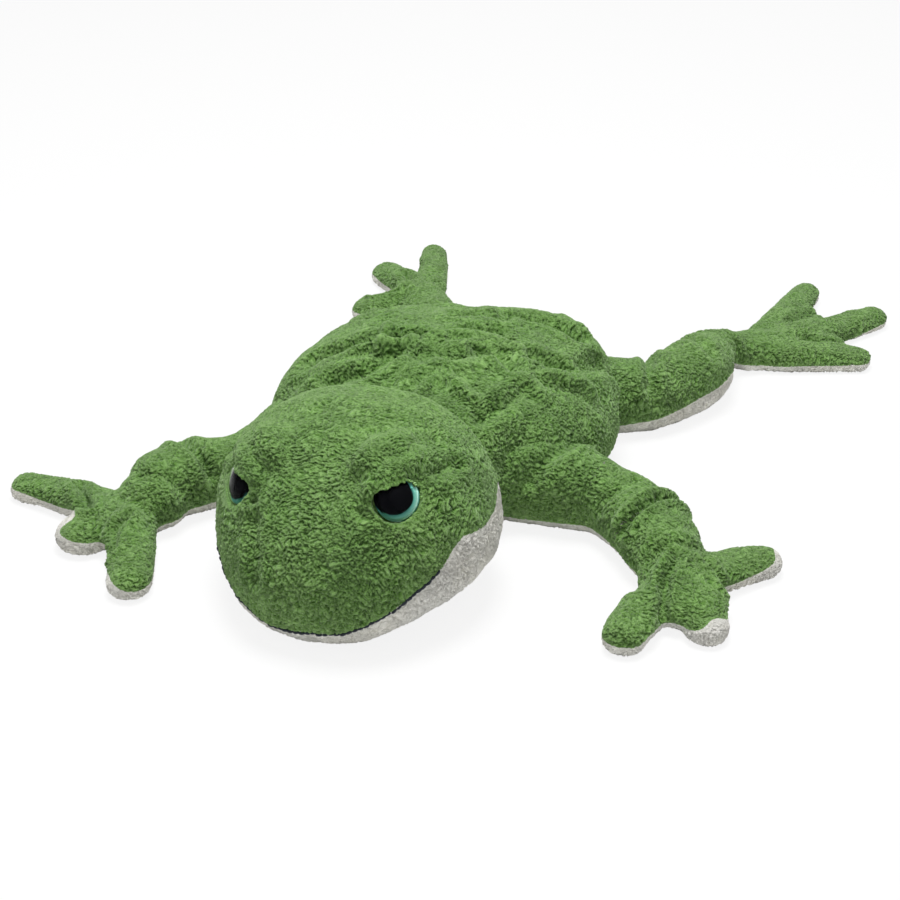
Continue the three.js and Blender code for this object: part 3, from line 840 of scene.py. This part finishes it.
# %% The head's folds, seam and pile
HEAD_FOLDS = [
    ([(78.5, -23.2, 16.8), (86.5, -20.4, 7.5), (91.8, -19.8, -4.2)], 3, 2.4),
    ([(44, 49, 29), (34, 54, 28)], 3, 2.2), ([(44, -49, 29), (34, -54, 28)], 3, 2.2),
    ([(70, 25, 22), (76, 20, 18)], 3, 0.9), ([(70, -25, 22), (76, -20, 18)], 3, 0.9),
]
TEAR_LINE = [(-16, 1), (-13, -4), (-9, -9)]
TEAR_SIZE = 1.8
BARE_FROM, BARE_TO, BARE_EDGE = -6, 14, 2.5
BROW_ABOVE, BROW_OUTSIDE, BROW_NAP = 3.5, 5, 0.6
SNOUT_DENTS = [((90, -13, 6), 5, -1.2), ((90, 13, 6), 5, -1.2)]
SEAM_LINE = np.array([(-200, 45), (0, 44), (20, 41), (35, 39), (50, 42), (56, 39), (62, 33.5),
                      (72, 27.6), (80, 22.6), (86, 17.2), (91, 12.4), (200, 11.4)], float)


def shape_head(piece):
    for line, width, depth in HEAD_FOLDS:
        fold(piece, line, width, depth, place=HEAD, flat=False)
    for side, seat in SEATS.items():
        line = [(OUTER[side] * x, y, -1) for x, y in TEAR_LINE]
        fold(piece, line, TEAR_SIZE, TEAR_SIZE, place=seat, flat=False)
    for centre, radius, height in SNOUT_DENTS:
        swell(piece, centre, radius, height, place=HEAD)
    clear_the_eyes(piece)


def seam_height(forward):
    return np.interp(forward, SEAM_LINE[:, 0], SEAM_LINE[:, 1]) - NECK[2]


def head_seam(points):
    here = into(HEAD, points)
    return here[:, 2] - seam_height(here[:, 0])


def head_nap(points):
    """The pile thins out close round each eye, but the brow that hangs over it keeps more."""
    nap = np.ones(len(points))
    for seat in SEATS.values():
        here = into(seat, points)
        radius = np.hypot(here[:, 0], here[:, 1])
        near = (here[:, 2] > BARE_FROM) & (here[:, 2] < BARE_TO)
        full = EYE_REACH + BARE_EDGE
        nap = np.where(near, np.minimum(nap, eased(EYE_REACH - 1, full, radius)), nap)
        brow = (here[:, 1] > BROW_ABOVE) & (here[:, 2] > BROW_OUTSIDE)
        nap = np.where(near & brow, np.maximum(nap, BROW_NAP), nap)
    return nap


dress(head, head_seam, shape_head, nap=head_nap)
clear_the_eyes(head)

# %% [markdown]
# ## Eyes
# Each eye is a hard button: a dome painted teal round a large black pupil, a raised black cap in
# the middle, and a clear dome over both. The paint is a ramp of colour over the distance from the
# middle of the eye, which each piece stores as the attribute "ring". A pale band in the teal is
# painted light, where light through the dome would brighten it.

# %% The paint of the eyes
RING_WANDER = 0.012


def ring_material(name, stops, roughness, gloss):
    """A hard finish whose colour runs from the middle of the eye to its rim."""
    material, tree, shader = new_finish(name)
    ring = tree.nodes.new("ShaderNodeAttribute")
    ring.attribute_name = "ring"
    flecks = noise_step(tree, object_place(tree), 900, 2)
    wander = ranged_step(tree, flecks, 0.2, 0.8, -RING_WANDER, RING_WANDER)
    colour = ramp_step(tree, number_step(tree, "ADD", ring.outputs["Fac"], wander), stops)
    tree.links.new(colour, shader.inputs["Base Color"])
    tree.links.new(ranged_step(tree, flecks, 0.3, 0.7, roughness * 0.8, roughness * 1.2),
                   shader.inputs["Roughness"])
    shader.inputs["Specular IOR Level"].default_value = gloss
    return material


# The pale stop at 0.9 is a painted highlight: the brightening that light through the clear dome gives
# the teal.
TEAL = ring_material("teal enamel with painted highlight", [(0.65, (0.002, 0.002, 0.003)), (0.68, (0.05, 0.2, 0.17)),
                                     (0.76, (0.13, 0.37, 0.3)), (0.84, (0.2, 0.46, 0.38)),
                                     (0.9, (0.5, 0.76, 0.68)), (0.93, (0.12, 0.36, 0.3)),
                                     (0.985, (0.03, 0.14, 0.12))], roughness=0.5, gloss=0.02)
BLACK = ring_material("black enamel", [(0.0, (0.002, 0.002, 0.003)), (0.5, (0.003, 0.003, 0.004)),
                                       (0.62, (0.006, 0.007, 0.008))], roughness=0.5, gloss=0.02)
print("two paints:", TEAL.name, "and", BLACK.name)

# %% [markdown]
# The clear dome lets light through. Its index of refraction is low, because a higher one would
# mirror the white room over the dark pupil. Shadow rays pass straight, so the paint below stays lit.

# %% The clear dome's finish
CLEAR_IOR = 1.07


def clear_plastic():
    material, tree, shader = new_finish("clear plastic")
    shader.inputs["Base Color"].default_value = (0.98, 1, 0.99, 1)
    shader.inputs["Transmission Weight"].default_value = 1
    shader.inputs["IOR"].default_value = CLEAR_IOR
    haze = ranged_step(tree, noise_step(tree, object_place(tree), 300, 2), 0.3, 0.7, 0.0, 0.02)
    tree.links.new(haze, shader.inputs["Roughness"])
    light = tree.nodes.new("ShaderNodeLightPath")
    open_air = tree.nodes.new("ShaderNodeBsdfTransparent")
    mix = tree.nodes.new("ShaderNodeMixShader")
    tree.links.new(light.outputs["Is Shadow Ray"], mix.inputs[0])
    tree.links.new(shader.outputs[0], mix.inputs[1])
    tree.links.new(open_air.outputs[0], mix.inputs[2])
    tree.links.new(mix.outputs[0], tree.nodes["Material Output"].inputs["Surface"])
    return material


CLEAR = clear_plastic()
print("the", CLEAR.name, "has an index of refraction of", CLEAR_IOR)

# %% [markdown]
# All three pieces are round, so each is a profile spun round the way the eye looks, as on a lathe.
# A profile is a row of radius and height. The lens is a thin shell, so its profile comes down
# inside and goes back up outside. The teal's rings run round a point up and inward, where the toy
# looks.

# %% Profiles of the eye's pieces
EYE_RADIUS = 10.2
LENS_FOOT, LENS_INSIDE = 2.3, 9.6
IRIS_DOME = [(0, 0), (9.9, 0), (10.2, 0.3), (10.2, 1.7), (10, 1.9), (9.5, 2), (9.35, 3),
             (8.9, 3.65), (8.2, 4.15), (7, 4.75), (5.6, 5.25), (0, 5.3)]
PUPIL_CAP = [(0, 5.4), (5.2, 5.4), (5.4, 5.45), (5.2, 5.7), (4.4, 6), (3.2, 6.25), (1.7, 6.42),
             (0, 6.5)]


def arc(radius, rise, angles):
    return [(radius * math.cos(a), LENS_FOOT + rise * math.sin(a)) for a in np.radians(angles)]


LENS_DOME = ([(0, 6.75)] + arc(LENS_INSIDE, 4.45, range(84, 12, -6))
             + [(LENS_INSIDE, LENS_FOOT), (10, 2.1), (EYE_RADIUS, LENS_FOOT)]
             + arc(EYE_RADIUS, 5.1, range(6, 90, 6)) + [(0, 7.4)])
print("the profiles have", len(IRIS_DOME), len(PUPIL_CAP), "and", len(LENS_DOME), "points")

# %% [markdown]
# Blender's spin operator turns edges into a surface. Where the profile meets the axis, its points
# fall together, so doubles are merged, and then the faces are made to point outward.

# %% Turn the eyes on a lathe
EYE_NUDGE = (0.6, 0.6)
IRIS_LOOK = (-2.5, 1.5)
RING_SCALE = 12


def turned_piece(name, profile, seat, shift, look):
    """Spin a profile, close it, and seat it in the head. Its rings of colour run round the look."""
    mesh = bpy.data.meshes.new(name)
    piece = bpy.data.objects.new(name, mesh)
    bpy.context.scene.collection.objects.link(piece)
    edges = [(i, i + 1) for i in range(len(profile) - 1)]
    mesh.from_pydata([(radius, 0, height) for radius, height in profile], edges, [])
    pick(piece)
    bpy.ops.object.mode_set(mode="EDIT")
    bpy.ops.mesh.select_all(action="SELECT")
    bpy.ops.mesh.spin(steps=72, angle=2 * math.pi, center=(0, 0, 0), axis=(0, 0, 1))
    bpy.ops.mesh.select_all(action="SELECT")
    bpy.ops.mesh.remove_doubles(threshold=0.001)
    bpy.ops.mesh.normals_make_consistent(inside=False)
    bpy.ops.object.mode_set(mode="OBJECT")
    points = points_of(piece)
    ring = piece.data.attributes.new("ring", "FLOAT", "POINT")
    rim = np.hypot(points[:, 0] - look[0], points[:, 1] - look[1]) / RING_SCALE
    ring.data.foreach_set("value", rim.astype(np.float32))
    put_points(piece, out_of(seat, points + [*shift, 0]))
    bpy.ops.object.shade_smooth_by_angle(angle=math.radians(35))
    return piece


for side, seat in SEATS.items():
    outer = OUTER[side]
    shift = (outer * EYE_NUDGE[0], EYE_NUDGE[1])
    inward = (outer * IRIS_LOOK[0], IRIS_LOOK[1])
    for part, profile, finish, look in (("iris", IRIS_DOME, TEAL, inward),
                                        ("pupil", PUPIL_CAP, BLACK, (0, 0)),
                                        ("lens", LENS_DOME, CLEAR, (0, 0))):
        piece = turned_piece(f"{side}_eye_{part}_turned", profile, seat, shift, look)
        piece.data.materials.append(finish)
        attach(piece, "head")
        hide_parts(f"{side}_eye_{part}")
print("an eye is", 2 * EYE_RADIUS, "mm across")

# %% [markdown]
# ## Mouth
# The mouth is sewn along the seam in dark thread, so its path has to lie on the finished head.
# Rays are shot at the head from outside, at the height of the seam, and each hit is a place.
# The pile makes the places uneven, so the path is smoothed.

# %% The path of the mouth
MOUTH_MIDDLE = 54
MOUTH_SPREAD = 79
MOUTH_DROP = 0.3
FIRST_GUESS, OUTSIDE = 38, 80
AIMS = 4
SMOOTH_ROUNDS = 12


def mouth_path():
    """Places on the finished head, half a degree apart, at the height of the seam."""
    skin = BVHTree.FromPolygons([v.co for v in head.data.vertices],
                                [p.vertices for p in head.data.polygons])
    places = []
    for angle in np.radians(np.arange(-MOUTH_SPREAD, MOUTH_SPREAD + 0.1, 0.5)):
        away = Vector((math.cos(angle), math.sin(angle), 0))
        place = Vector((MOUTH_MIDDLE, 0, 0)) + away * FIRST_GUESS
        for _ in range(AIMS):
            place.z = seam_height(place.x) - MOUTH_DROP
            start = Vector((MOUTH_MIDDLE, 0, place.z)) + away * OUTSIDE
            hit, *_ = skin.ray_cast(HEAD @ start, (HEAD.to_3x3() @ -away).normalized())
            if hit:
                place = HEAD.inverted() @ hit
        places.append(place)
    path = np.array(places)
    for _ in range(SMOOTH_ROUNDS):
        path[1:-1] = (path[:-2] + 2 * path[1:-1] + path[2:]) / 4
    return path


path = mouth_path()
run = np.concatenate([[0], np.cumsum(np.linalg.norm(np.diff(path, axis=0), axis=1))])
print("the mouth is", round(run[-1]), "mm long")

# %% [markdown]
# Every stitch is a short roll of thread that dips into the pile at both ends, and no two lie quite
# alike. Each starts as a ball that is drawn out along the path. A curve with a round section would
# be quicker, but it would look like a wire.

# %% Sew the mouth
STITCH_LENGTH = 3.4
STITCH_PITCH = 2.7
STITCH_RADIUS = 0.75
STITCH_DIP = 0.35
STITCH_FULLNESS = 0.8
TILT_SPREAD, LIFT_SPREAD, SUNK = 0.1, 0.2, (-0.3, 0.4)
stitches = []
chance = np.random.default_rng(4)
for at in np.arange(STITCH_PITCH / 2, run[-1], STITCH_PITCH):
    middle, before, after = (np.array([np.interp(at + d, run, path[:, i]) for i in range(3)])
                             for d in (0, -1, 1))
    along = Vector(after - before).normalized()
    out = Vector((middle[0] - MOUTH_MIDDLE, middle[1], 0)).normalized()
    up = along.cross(out).normalized()
    stitch = new_ball(10, 8)
    ball = points_of(stitch)
    ball = np.column_stack([fuller(ball[:, 2], STITCH_FULLNESS) * STITCH_LENGTH / 2,
                            ball[:, 0] * STITCH_RADIUS, ball[:, 1] * STITCH_RADIUS])
    tilt = chance.normal(0, TILT_SPREAD)
    lift = chance.normal(0, LIFT_SPREAD)
    sunk = chance.uniform(*SUNK)
    axes = np.array([along + up * tilt, out, up])
    bend = -STITCH_DIP * (ball[:, 0] / (STITCH_LENGTH / 2)) ** 2
    put_points(stitch, out_of(HEAD, ball @ axes + middle + (bend + sunk)[:, None] * np.array(out)
                              + lift * np.array(up)))
    stitches.append(stitch)
mouth = joined(stitches)
mouth.name = mouth.data.name = "mouth_stitches"
bpy.ops.object.shade_smooth()
print("the mouth has", len(stitches), "stitches")

# %% [markdown]
# Thread is matt, with fine strands that show as light and dark. The same recipe, in other colours,
# finishes the pieces that stay hidden: the washers behind the eyes and the pouch of pellets.

# %% Thread, washers and pouch
def thread_material(name, dark, light):
    material, tree, shader = new_finish(name)
    strands = noise_step(tree, object_place(tree), 2200, 2)
    tree.links.new(ramp_step(tree, strands, [(0.3, dark), (0.75, light)]), shader.inputs["Base Color"])
    tree.links.new(bump_step(tree, strands, 0.5, 0.15), shader.inputs["Normal"])
    shader.inputs["Roughness"].default_value = 0.75
    return material


mouth.data.materials.clear()
mouth.data.materials.append(thread_material("dark thread", (0.006, 0.009, 0.016),
                                            (0.022, 0.032, 0.045)))
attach(mouth, "head")
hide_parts("mouth_thread")
WASHER = ((0.6, 0.6, 0.57), (0.75, 0.75, 0.72))
POUCH = ((0.5, 0.48, 0.42), (0.68, 0.66, 0.6))
for name, colours in (("left_eye_washer", WASHER), ("right_eye_washer", WASHER),
                      ("body_pellet_pouch", POUCH)):
    inside = frame["nodes"][name]
    inside.data.materials.clear()
    inside.data.materials.append(thread_material(name.replace("_", " "), *colours))
    print(name, "has", len(inside.data.polygons), "faces")

# %% [markdown]
# ## Arms and legs
# Each limb is one main row of clay from the body to the palm or foot, and a row for each finger or
# toe.
# A station is a place as forward and left, its half width, the height of its top and, where the
# limb is lifted off the floor, the height of its underside. The left foot has two more rows: the
# fabric between its toes.

# %% The rows of the four limbs
LIMBS = {
    "left_arm": [
        [(34, 48.5, 19, 44), (32, 63, 19, 41), (31.5, 77.5, 18, 40), (31.5, 90.5, 16, 35),
         (37.5, 104, 17, 33), (47.5, 117, 18, 33), (59.5, 127, 17.5, 30), (68, 133, 15, 26),
         (79, 140.5, 18, 22), (90, 148, 17, 18)],
        [(84.5, 136.5, 10, 18), (102, 130.5, 11, 16), (121.5, 126.5, 10, 14)],
        [(85, 147.5, 11, 18), (94.5, 153.5, 11.5, 16), (102, 158, 10.5, 13)],
        [(70, 148, 10, 16), (56, 158.5, 11, 15), (44.5, 171, 9.5, 13)],
    ],
    "right_arm": [
        [(39.5, -67.5, 18, 42), (54.5, -72.5, 17, 38), (64, -80.5, 16, 34), (72, -93, 15.5, 33),
         (81, -102, 17, 34), (90.5, -110.5, 17, 33), (99.5, -110.5, 16.5, 30), (107, -114.5, 14, 24),
         (117, -119.5, 16, 20), (121, -124, 15, 18)],
        [(125, -111, 12, 20), (141, -101.5, 11, 17), (157.5, -93.5, 10.5, 14)],
        [(113, -124, 14, 19), (122, -128, 14.5, 17), (130.5, -132.5, 13.5, 15)],
        [(108, -137, 11, 16), (103, -161, 10, 14), (101, -180.5, 9.5, 12)],
    ],
    "left_leg": [
        [(-54, 50, 20, 42), (-62, 62, 19.5, 40), (-68, 74, 18, 38), (-75, 86, 16.8, 35.5),
         (-90, 96, 17.4, 36.5), (-110, 105.5, 17.8, 37.5), (-127, 106, 15, 32),
         (-147.5, 111, 8.5, 25, 7), (-160, 122, 13.5, 20), (-170.5, 134, 14, 18)],
        [(-162, 136, 10, 18), (-170.5, 159, 9.5, 14), (-178, 180, 9, 12)],
        [(-175.5, 136, 10, 18), (-203.5, 159, 10, 15), (-234.5, 181, 9.5, 12)],
        [(-180.5, 128, 10, 18), (-216, 134, 10, 16), (-255, 139, 8.5, 12)],
        [(-172, 138, 9, 15), (-181, 154, 9, 13.5), (-186, 166, 8.5, 12)],
        [(-184, 132, 9, 15), (-204, 141, 9, 14), (-221, 147, 8, 12)],
    ],
    "right_leg": [
        [(-48, -50, 20, 42), (-62, -62, 20, 40), (-78, -71, 18, 34), (-93, -75, 16.5, 30),
         (-106, -68, 15.5, 28), (-118, -58, 14.5, 25), (-128, -50, 11.5, 17), (-140, -57, 13, 18),
         (-153, -68, 15.5, 18.5), (-162, -76, 15.5, 18)],
        [(-180, -75.5, 9.8, 16), (-206.5, -83.5, 9.3, 15), (-233, -93, 8.3, 12)],
        [(-171.5, -81.5, 10.8, 16), (-183.5, -95.5, 10.8, 15), (-196, -109.5, 10.3, 12)],
        [(-157.5, -79, 10.8, 16), (-150.5, -90, 10.8, 15), (-144, -101, 10.3, 12)],
    ],
}
print("stations in each limb:", {name: sum(map(len, rows)) for name, rows in LIMBS.items()})

# %% [markdown]
# The limbs fold where they bend, at the elbow, wrist, knee and ankle, and a short crease
# runs up between two fingers or toes. The folds are lines with a width and a depth, as on the body.

# %% The folds of the four limbs
LIMB_FOLDS = {
    "left_arm": [
        ([(75, 101), (66, 108), (57, 115), (46, 122), (36, 133)], 2.4, 5.5),
        ([(50, 96), (44, 104), (36, 108)], 2.6, 1.5),
        ([(95, 125), (80, 128), (71, 135), (66, 147)], 3, 1.8), ([(66, 132), (58, 140)], 2.4, 1.2),
        ([(77, 138), (88, 137), (95, 137), (106, 139), (117, 142)], 2.2, 3.4),
        ([(71, 150), (79, 161)], 2.2, 4), ([(56, 56), (42, 66), (24, 74)], 3.5, 4),
    ],
    "right_arm": [
        ([(75, -109), (81, -98), (90, -82)], 2.8, 4),
        ([(105, -113), (102, -98), (96, -86)], 2.6, 1.4),
        ([(126, -111), (136, -113), (148, -108)], 2.2, 3.4),
        ([(104, -150), (115, -140), (122, -134)], 2.2, 3.6),
        ([(110, -104), (106, -116), (98, -126)], 3, 1.2),
    ],
    "left_leg": [
        ([(-62, 90), (-76, 86), (-90, 82)], 3, 3.8),
        ([(-194, 139), (-212, 147), (-228, 153)], 2.4, 2.4),
        ([(-176, 150), (-184, 163), (-190, 175)], 2.4, 2.4),
        ([(-136, 96), (-146, 110), (-140, 124)], 2.2, 3),
        ([(-100, 112), (-112, 98), (-110, 88)], 3, 2.2),
    ],
    "right_leg": [
        ([(-170, -84), (-182, -92)], 2.4, 3.6), ([(-158, -84), (-152, -100)], 2.4, 3.4),
        ([(-84, -64), (-94, -84)], 3, 3),
    ],
}
print("folds in each limb:", {name: len(folds) for name, folds in LIMB_FOLDS.items()})

# %% [markdown]
# Green meets cream at one height all along a limb, apart from the places below. At some tips the
# sole curls up and shows more cream, and so it does under the thigh and the shank. At the left foot
# it shows less. Each rise is a place as forward and left, its radius and how far the seam goes up.

# %% Where green meets cream on a limb
LIMB_SEAM = 6.5
SEAM_RISES = [
    (133, -134, 14, 5.5), (128, -144, 9, 6), (164, -101, 9, 4), (100, -182, 14, 1.5),
    (106, 163, 9, 6), (44, 174, 15, 3), (-90, 98, 26, 5), (-118, 112, 20, 8.5),
    (-176, 132, 22, -3.5), (-214, 140, 34, -3.5), (-206, 170, 30, -3), (-66, 78, 20, 4),
    (-160, -98, 14, 2), (78, -100, 20, 2.5), (40, 98, 22, 2), (40, 184, 8, 7),
    (-72, 102, 14, 3), (-90, 114, 15, 5), (-108, 122, 14, 5),
]


def limb_seam(points):
    """How far each point is above the seam, in millimetres."""
    here = into(FROG, points)
    level = np.full(len(points), LIMB_SEAM)
    for forward, left, radius, rise in SEAM_RISES:
        gap = np.hypot(here[:, 0] - forward, here[:, 1] - left)
        level += rise * np.exp(-((gap / radius) ** 2))
    return here[:, 2] - level


print("the seam is", LIMB_SEAM, "mm up, apart from", len(SEAM_RISES), "places")

# %% [markdown]
# On the real toy a limb is one stuffed tube, but here it has to bend at three joints. One mesh can
# be bent over one joint only, so the finished limb is cut half way between two joints into three
# sleeves. The cuts are clean and their ends are closed, so nothing shows of them at rest.

# %% Cut a limb into sleeves
def part_off(piece, chosen, name):
    """Take the chosen faces off a piece, as a piece of their own."""
    pick(piece)
    bpy.ops.object.mode_set(mode="EDIT")
    bpy.ops.mesh.select_mode(type="FACE")
    bpy.ops.mesh.select_all(action="DESELECT")
    bpy.ops.object.mode_set(mode="OBJECT")
    piece.data.polygons.foreach_set("select", chosen)
    bpy.ops.object.mode_set(mode="EDIT")
    bpy.ops.mesh.separate(type="SELECTED")
    bpy.ops.object.mode_set(mode="OBJECT")
    made = [thing for thing in bpy.context.selected_objects if thing != piece][0]
    made.name = made.data.name = name
    return made


def close_ends(piece):
    """Fill the open ends. Each cap is poked into a fan, because one big face would not lie flat."""
    pick(piece)
    bpy.ops.object.mode_set(mode="EDIT")
    bpy.ops.mesh.select_mode(type="EDGE")
    bpy.ops.mesh.select_all(action="DESELECT")
    bpy.ops.mesh.select_non_manifold()
    bpy.ops.mesh.fill_holes(sides=0)
    bpy.ops.mesh.select_mode(type="FACE")
    bpy.ops.mesh.select_face_by_sides(number=4, type="GREATER", extend=False)
    bpy.ops.mesh.poke()
    bpy.ops.object.mode_set(mode="OBJECT")


def stretch_of_faces(limb, places, stretches):
    """The stretch that each face belongs to, which is that of the nearest place."""
    centres = np.empty(len(limb.data.polygons) * 3)
    limb.data.polygons.foreach_get("center", centres)
    here = into(FROG, centres.reshape(-1, 3))[:, :2]
    gaps = np.linalg.norm(here[:, None] - places[None], axis=2)
    return stretches[np.argmin(gaps, axis=1)]


def cut_limb(limb, rows, cuts, names):
    """Cut a limb into three sleeves between its joints. Fingers and toes stay with the last."""
    laid = [along_row([station[:2] for station in row], CLAY_STEP) for row in rows]
    places = np.concatenate(laid)
    stretches = np.full(len(places), 2)
    for i, cut in reversed(list(enumerate(cuts))):
        stretches[:np.argmin(np.linalg.norm(laid[0] - cut, axis=1))] = i
    middle = part_off(limb, stretch_of_faces(limb, places, stretches) == 1, names[1])
    end = part_off(limb, stretch_of_faces(limb, places, stretches) == 2, names[2])
    limb.name = limb.data.name = names[0]
    for sleeve in (limb, middle, end):
        close_ends(sleeve)
    return limb, middle, end


print("a face goes with the nearest of the places, which are", CLAY_STEP, "mm apart on a row")

# %% [markdown]
# Each sleeve has its placing baked into its points, and the solids of the limb part past its
# joint are hidden.

# %% Settle a sleeve in place of its solids
JOINTS = {joint["name"]: joint for joint in frame["joints"]}


def joint_place(name):
    return into(FROG, np.array([JOINTS[name]["pos_m"]]))[0]


def bend_sleeve(sleeve, joint, owners, before, turn, after):
    """Bake the sleeve's placing into its points and hide the solids of the part past its joint."""
    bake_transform(sleeve)
    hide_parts(*[f"{owners[1]}_{part}" for part in ("top", "sole", "filling")])


print("joints in the frame:", len(JOINTS))

# %% [markdown]
# Now the four limbs are made, each by the same steps: clay, one skin, folds and pile, cuts.
# The first cut lies a little past half way, clear of the body's side as the limb swings.

# %% The four limbs
FIRST_CUT = 0.62
LIMB_PARTS = {
    "arm": (("shoulder", "elbow", "wrist"), ("upper_arm", "forearm", "hand")),
    "leg": (("hip", "knee", "ankle"), ("thigh", "shin", "foot")),
}
for limb_name, rows in LIMBS.items():
    side, kind = limb_name.split("_")
    joints = [f"{side}_{joint}" for joint in LIMB_PARTS[kind][0]]
    owners = ["torso"] + [f"{side}_{body}" for body in LIMB_PARTS[kind][1]]
    limb = clay_rows(limb_name, rows)
    reskin(limb, CLAY_GRAIN)
    soften(limb, 6)
    dress(limb, limb_seam, lambda piece: fold_along(piece, LIMB_FOLDS[limb_name]))
    turns = [joint_place(joint)[:2] for joint in joints]
    cuts = [turns[0] + FIRST_CUT * (turns[1] - turns[0]), (turns[1] + turns[2]) / 2]
    sleeves = cut_limb(limb, rows, cuts, [f"{joint}_sleeve" for joint in joints])
    tips = np.mean([row[-1][:2] for row in rows[1:]], axis=0)
    line = [turns[0] * 2 - turns[1], *turns, tips]
    for i, sleeve in enumerate(sleeves):
        bend_sleeve(sleeve, joints[i], owners[i:i + 2], *line[i:i + 3])
    print(limb_name, "is cut into", [len(sleeve.data.polygons) for sleeve in sleeves], "faces")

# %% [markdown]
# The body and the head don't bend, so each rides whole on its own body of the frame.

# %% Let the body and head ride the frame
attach(body, "torso")
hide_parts("body_back", "body_belly", "body_filling")
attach(head, "head")
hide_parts("head_top", "head_chin", "head_filling")

# %% [markdown]
# ## Light, floor and camera
# The toy lies on white paper. Paper lit like the toy would look grey, and more light would bleach
# the toy, so most of the floor's white is a glow that only the camera sees. The rest is plain matt
# paper, which keeps the toy's shadow.

# %% The floor
FLOOR_SIZE = 8
FLOOR_GLOW = 0.86


def show_to_camera(tree, lit, shown, output, share=1):
    """Mix a second shader in where the camera looks straight at the surface."""
    light = tree.nodes.new("ShaderNodeLightPath")
    seen = number_step(tree, "MULTIPLY", light.outputs["Is Camera Ray"], share)
    blend = tree.nodes.new("ShaderNodeMixShader")
    tree.links.new(seen, blend.inputs[0])
    tree.links.new(lit.outputs[0], blend.inputs[1])
    tree.links.new(shown.outputs[0], blend.inputs[2])
    tree.links.new(blend.outputs[0], tree.nodes[output].inputs["Surface"])


bpy.ops.mesh.primitive_plane_add(size=FLOOR_SIZE, location=(0, 0, 0))
floor = bpy.context.object
floor.name = "floor"
paper, tree, matte = new_finish("white paper")
matte.inputs["Base Color"].default_value = (0.9, 0.9, 0.9, 1)
matte.inputs["Roughness"].default_value = 0.9
show_to_camera(tree, matte, tree.nodes.new("ShaderNodeEmission"), "Material Output", FLOOR_GLOW)
floor.data.materials.append(paper)
print("the floor is", FLOOR_SIZE, "m wide")

# %% [markdown]
# A white room lights the toy softly from all sides, and one big soft lamp overhead draws the folds.
# The camera sees the room at full white.

# %% The light
ROOM_LIGHT = 0.42
world = bpy.data.worlds.new("studio")
bpy.context.scene.world = world
world.use_nodes = True
tree = world.node_tree
room = tree.nodes["Background"]
room.inputs["Color"].default_value = (1, 1, 1, 1)
room.inputs["Strength"].default_value = ROOM_LIGHT
white = tree.nodes.new("ShaderNodeBackground")
white.inputs["Strength"].default_value = 1
show_to_camera(tree, room, white, "World Output")

softbox = bpy.data.lights.new("key softbox", "AREA")
softbox.shape = "SQUARE"
softbox.size = 0.5
softbox.energy = 14
holder = bpy.data.objects.new("key softbox", softbox)
bpy.context.scene.collection.objects.link(holder)
holder.location = (0, 0, 1.2)
print("the softbox hangs", round(holder.location.z, 2), "m up and takes", softbox.energy, "W")

# %% [markdown]
# The camera looks down on the toy from its front left, as in the photograph. Its angles, its
# distance and its lens were found by matching the toy's outline with the photograph's.

# %% The camera
AIM = Vector((0.010, -0.020, 0.020))
AROUND, ABOVE = math.radians(20), math.radians(30)
BACK = 0.85
away = Vector((math.sin(AROUND) * math.cos(ABOVE), -math.cos(AROUND) * math.cos(ABOVE),
               math.sin(ABOVE)))
camera = bpy.data.objects.new("camera", bpy.data.cameras.new("camera"))
bpy.context.scene.collection.objects.link(camera)
camera.location = AIM + BACK * away
camera.rotation_euler = (-away).to_track_quat("-Z", "Y").to_euler()
camera.data.sensor_width = 36
camera.data.lens = 68.9
bpy.context.scene.camera = camera
bpy.context.scene.view_settings.view_transform = "Standard"
print("the camera is at", [round(v, 2) for v in camera.location])
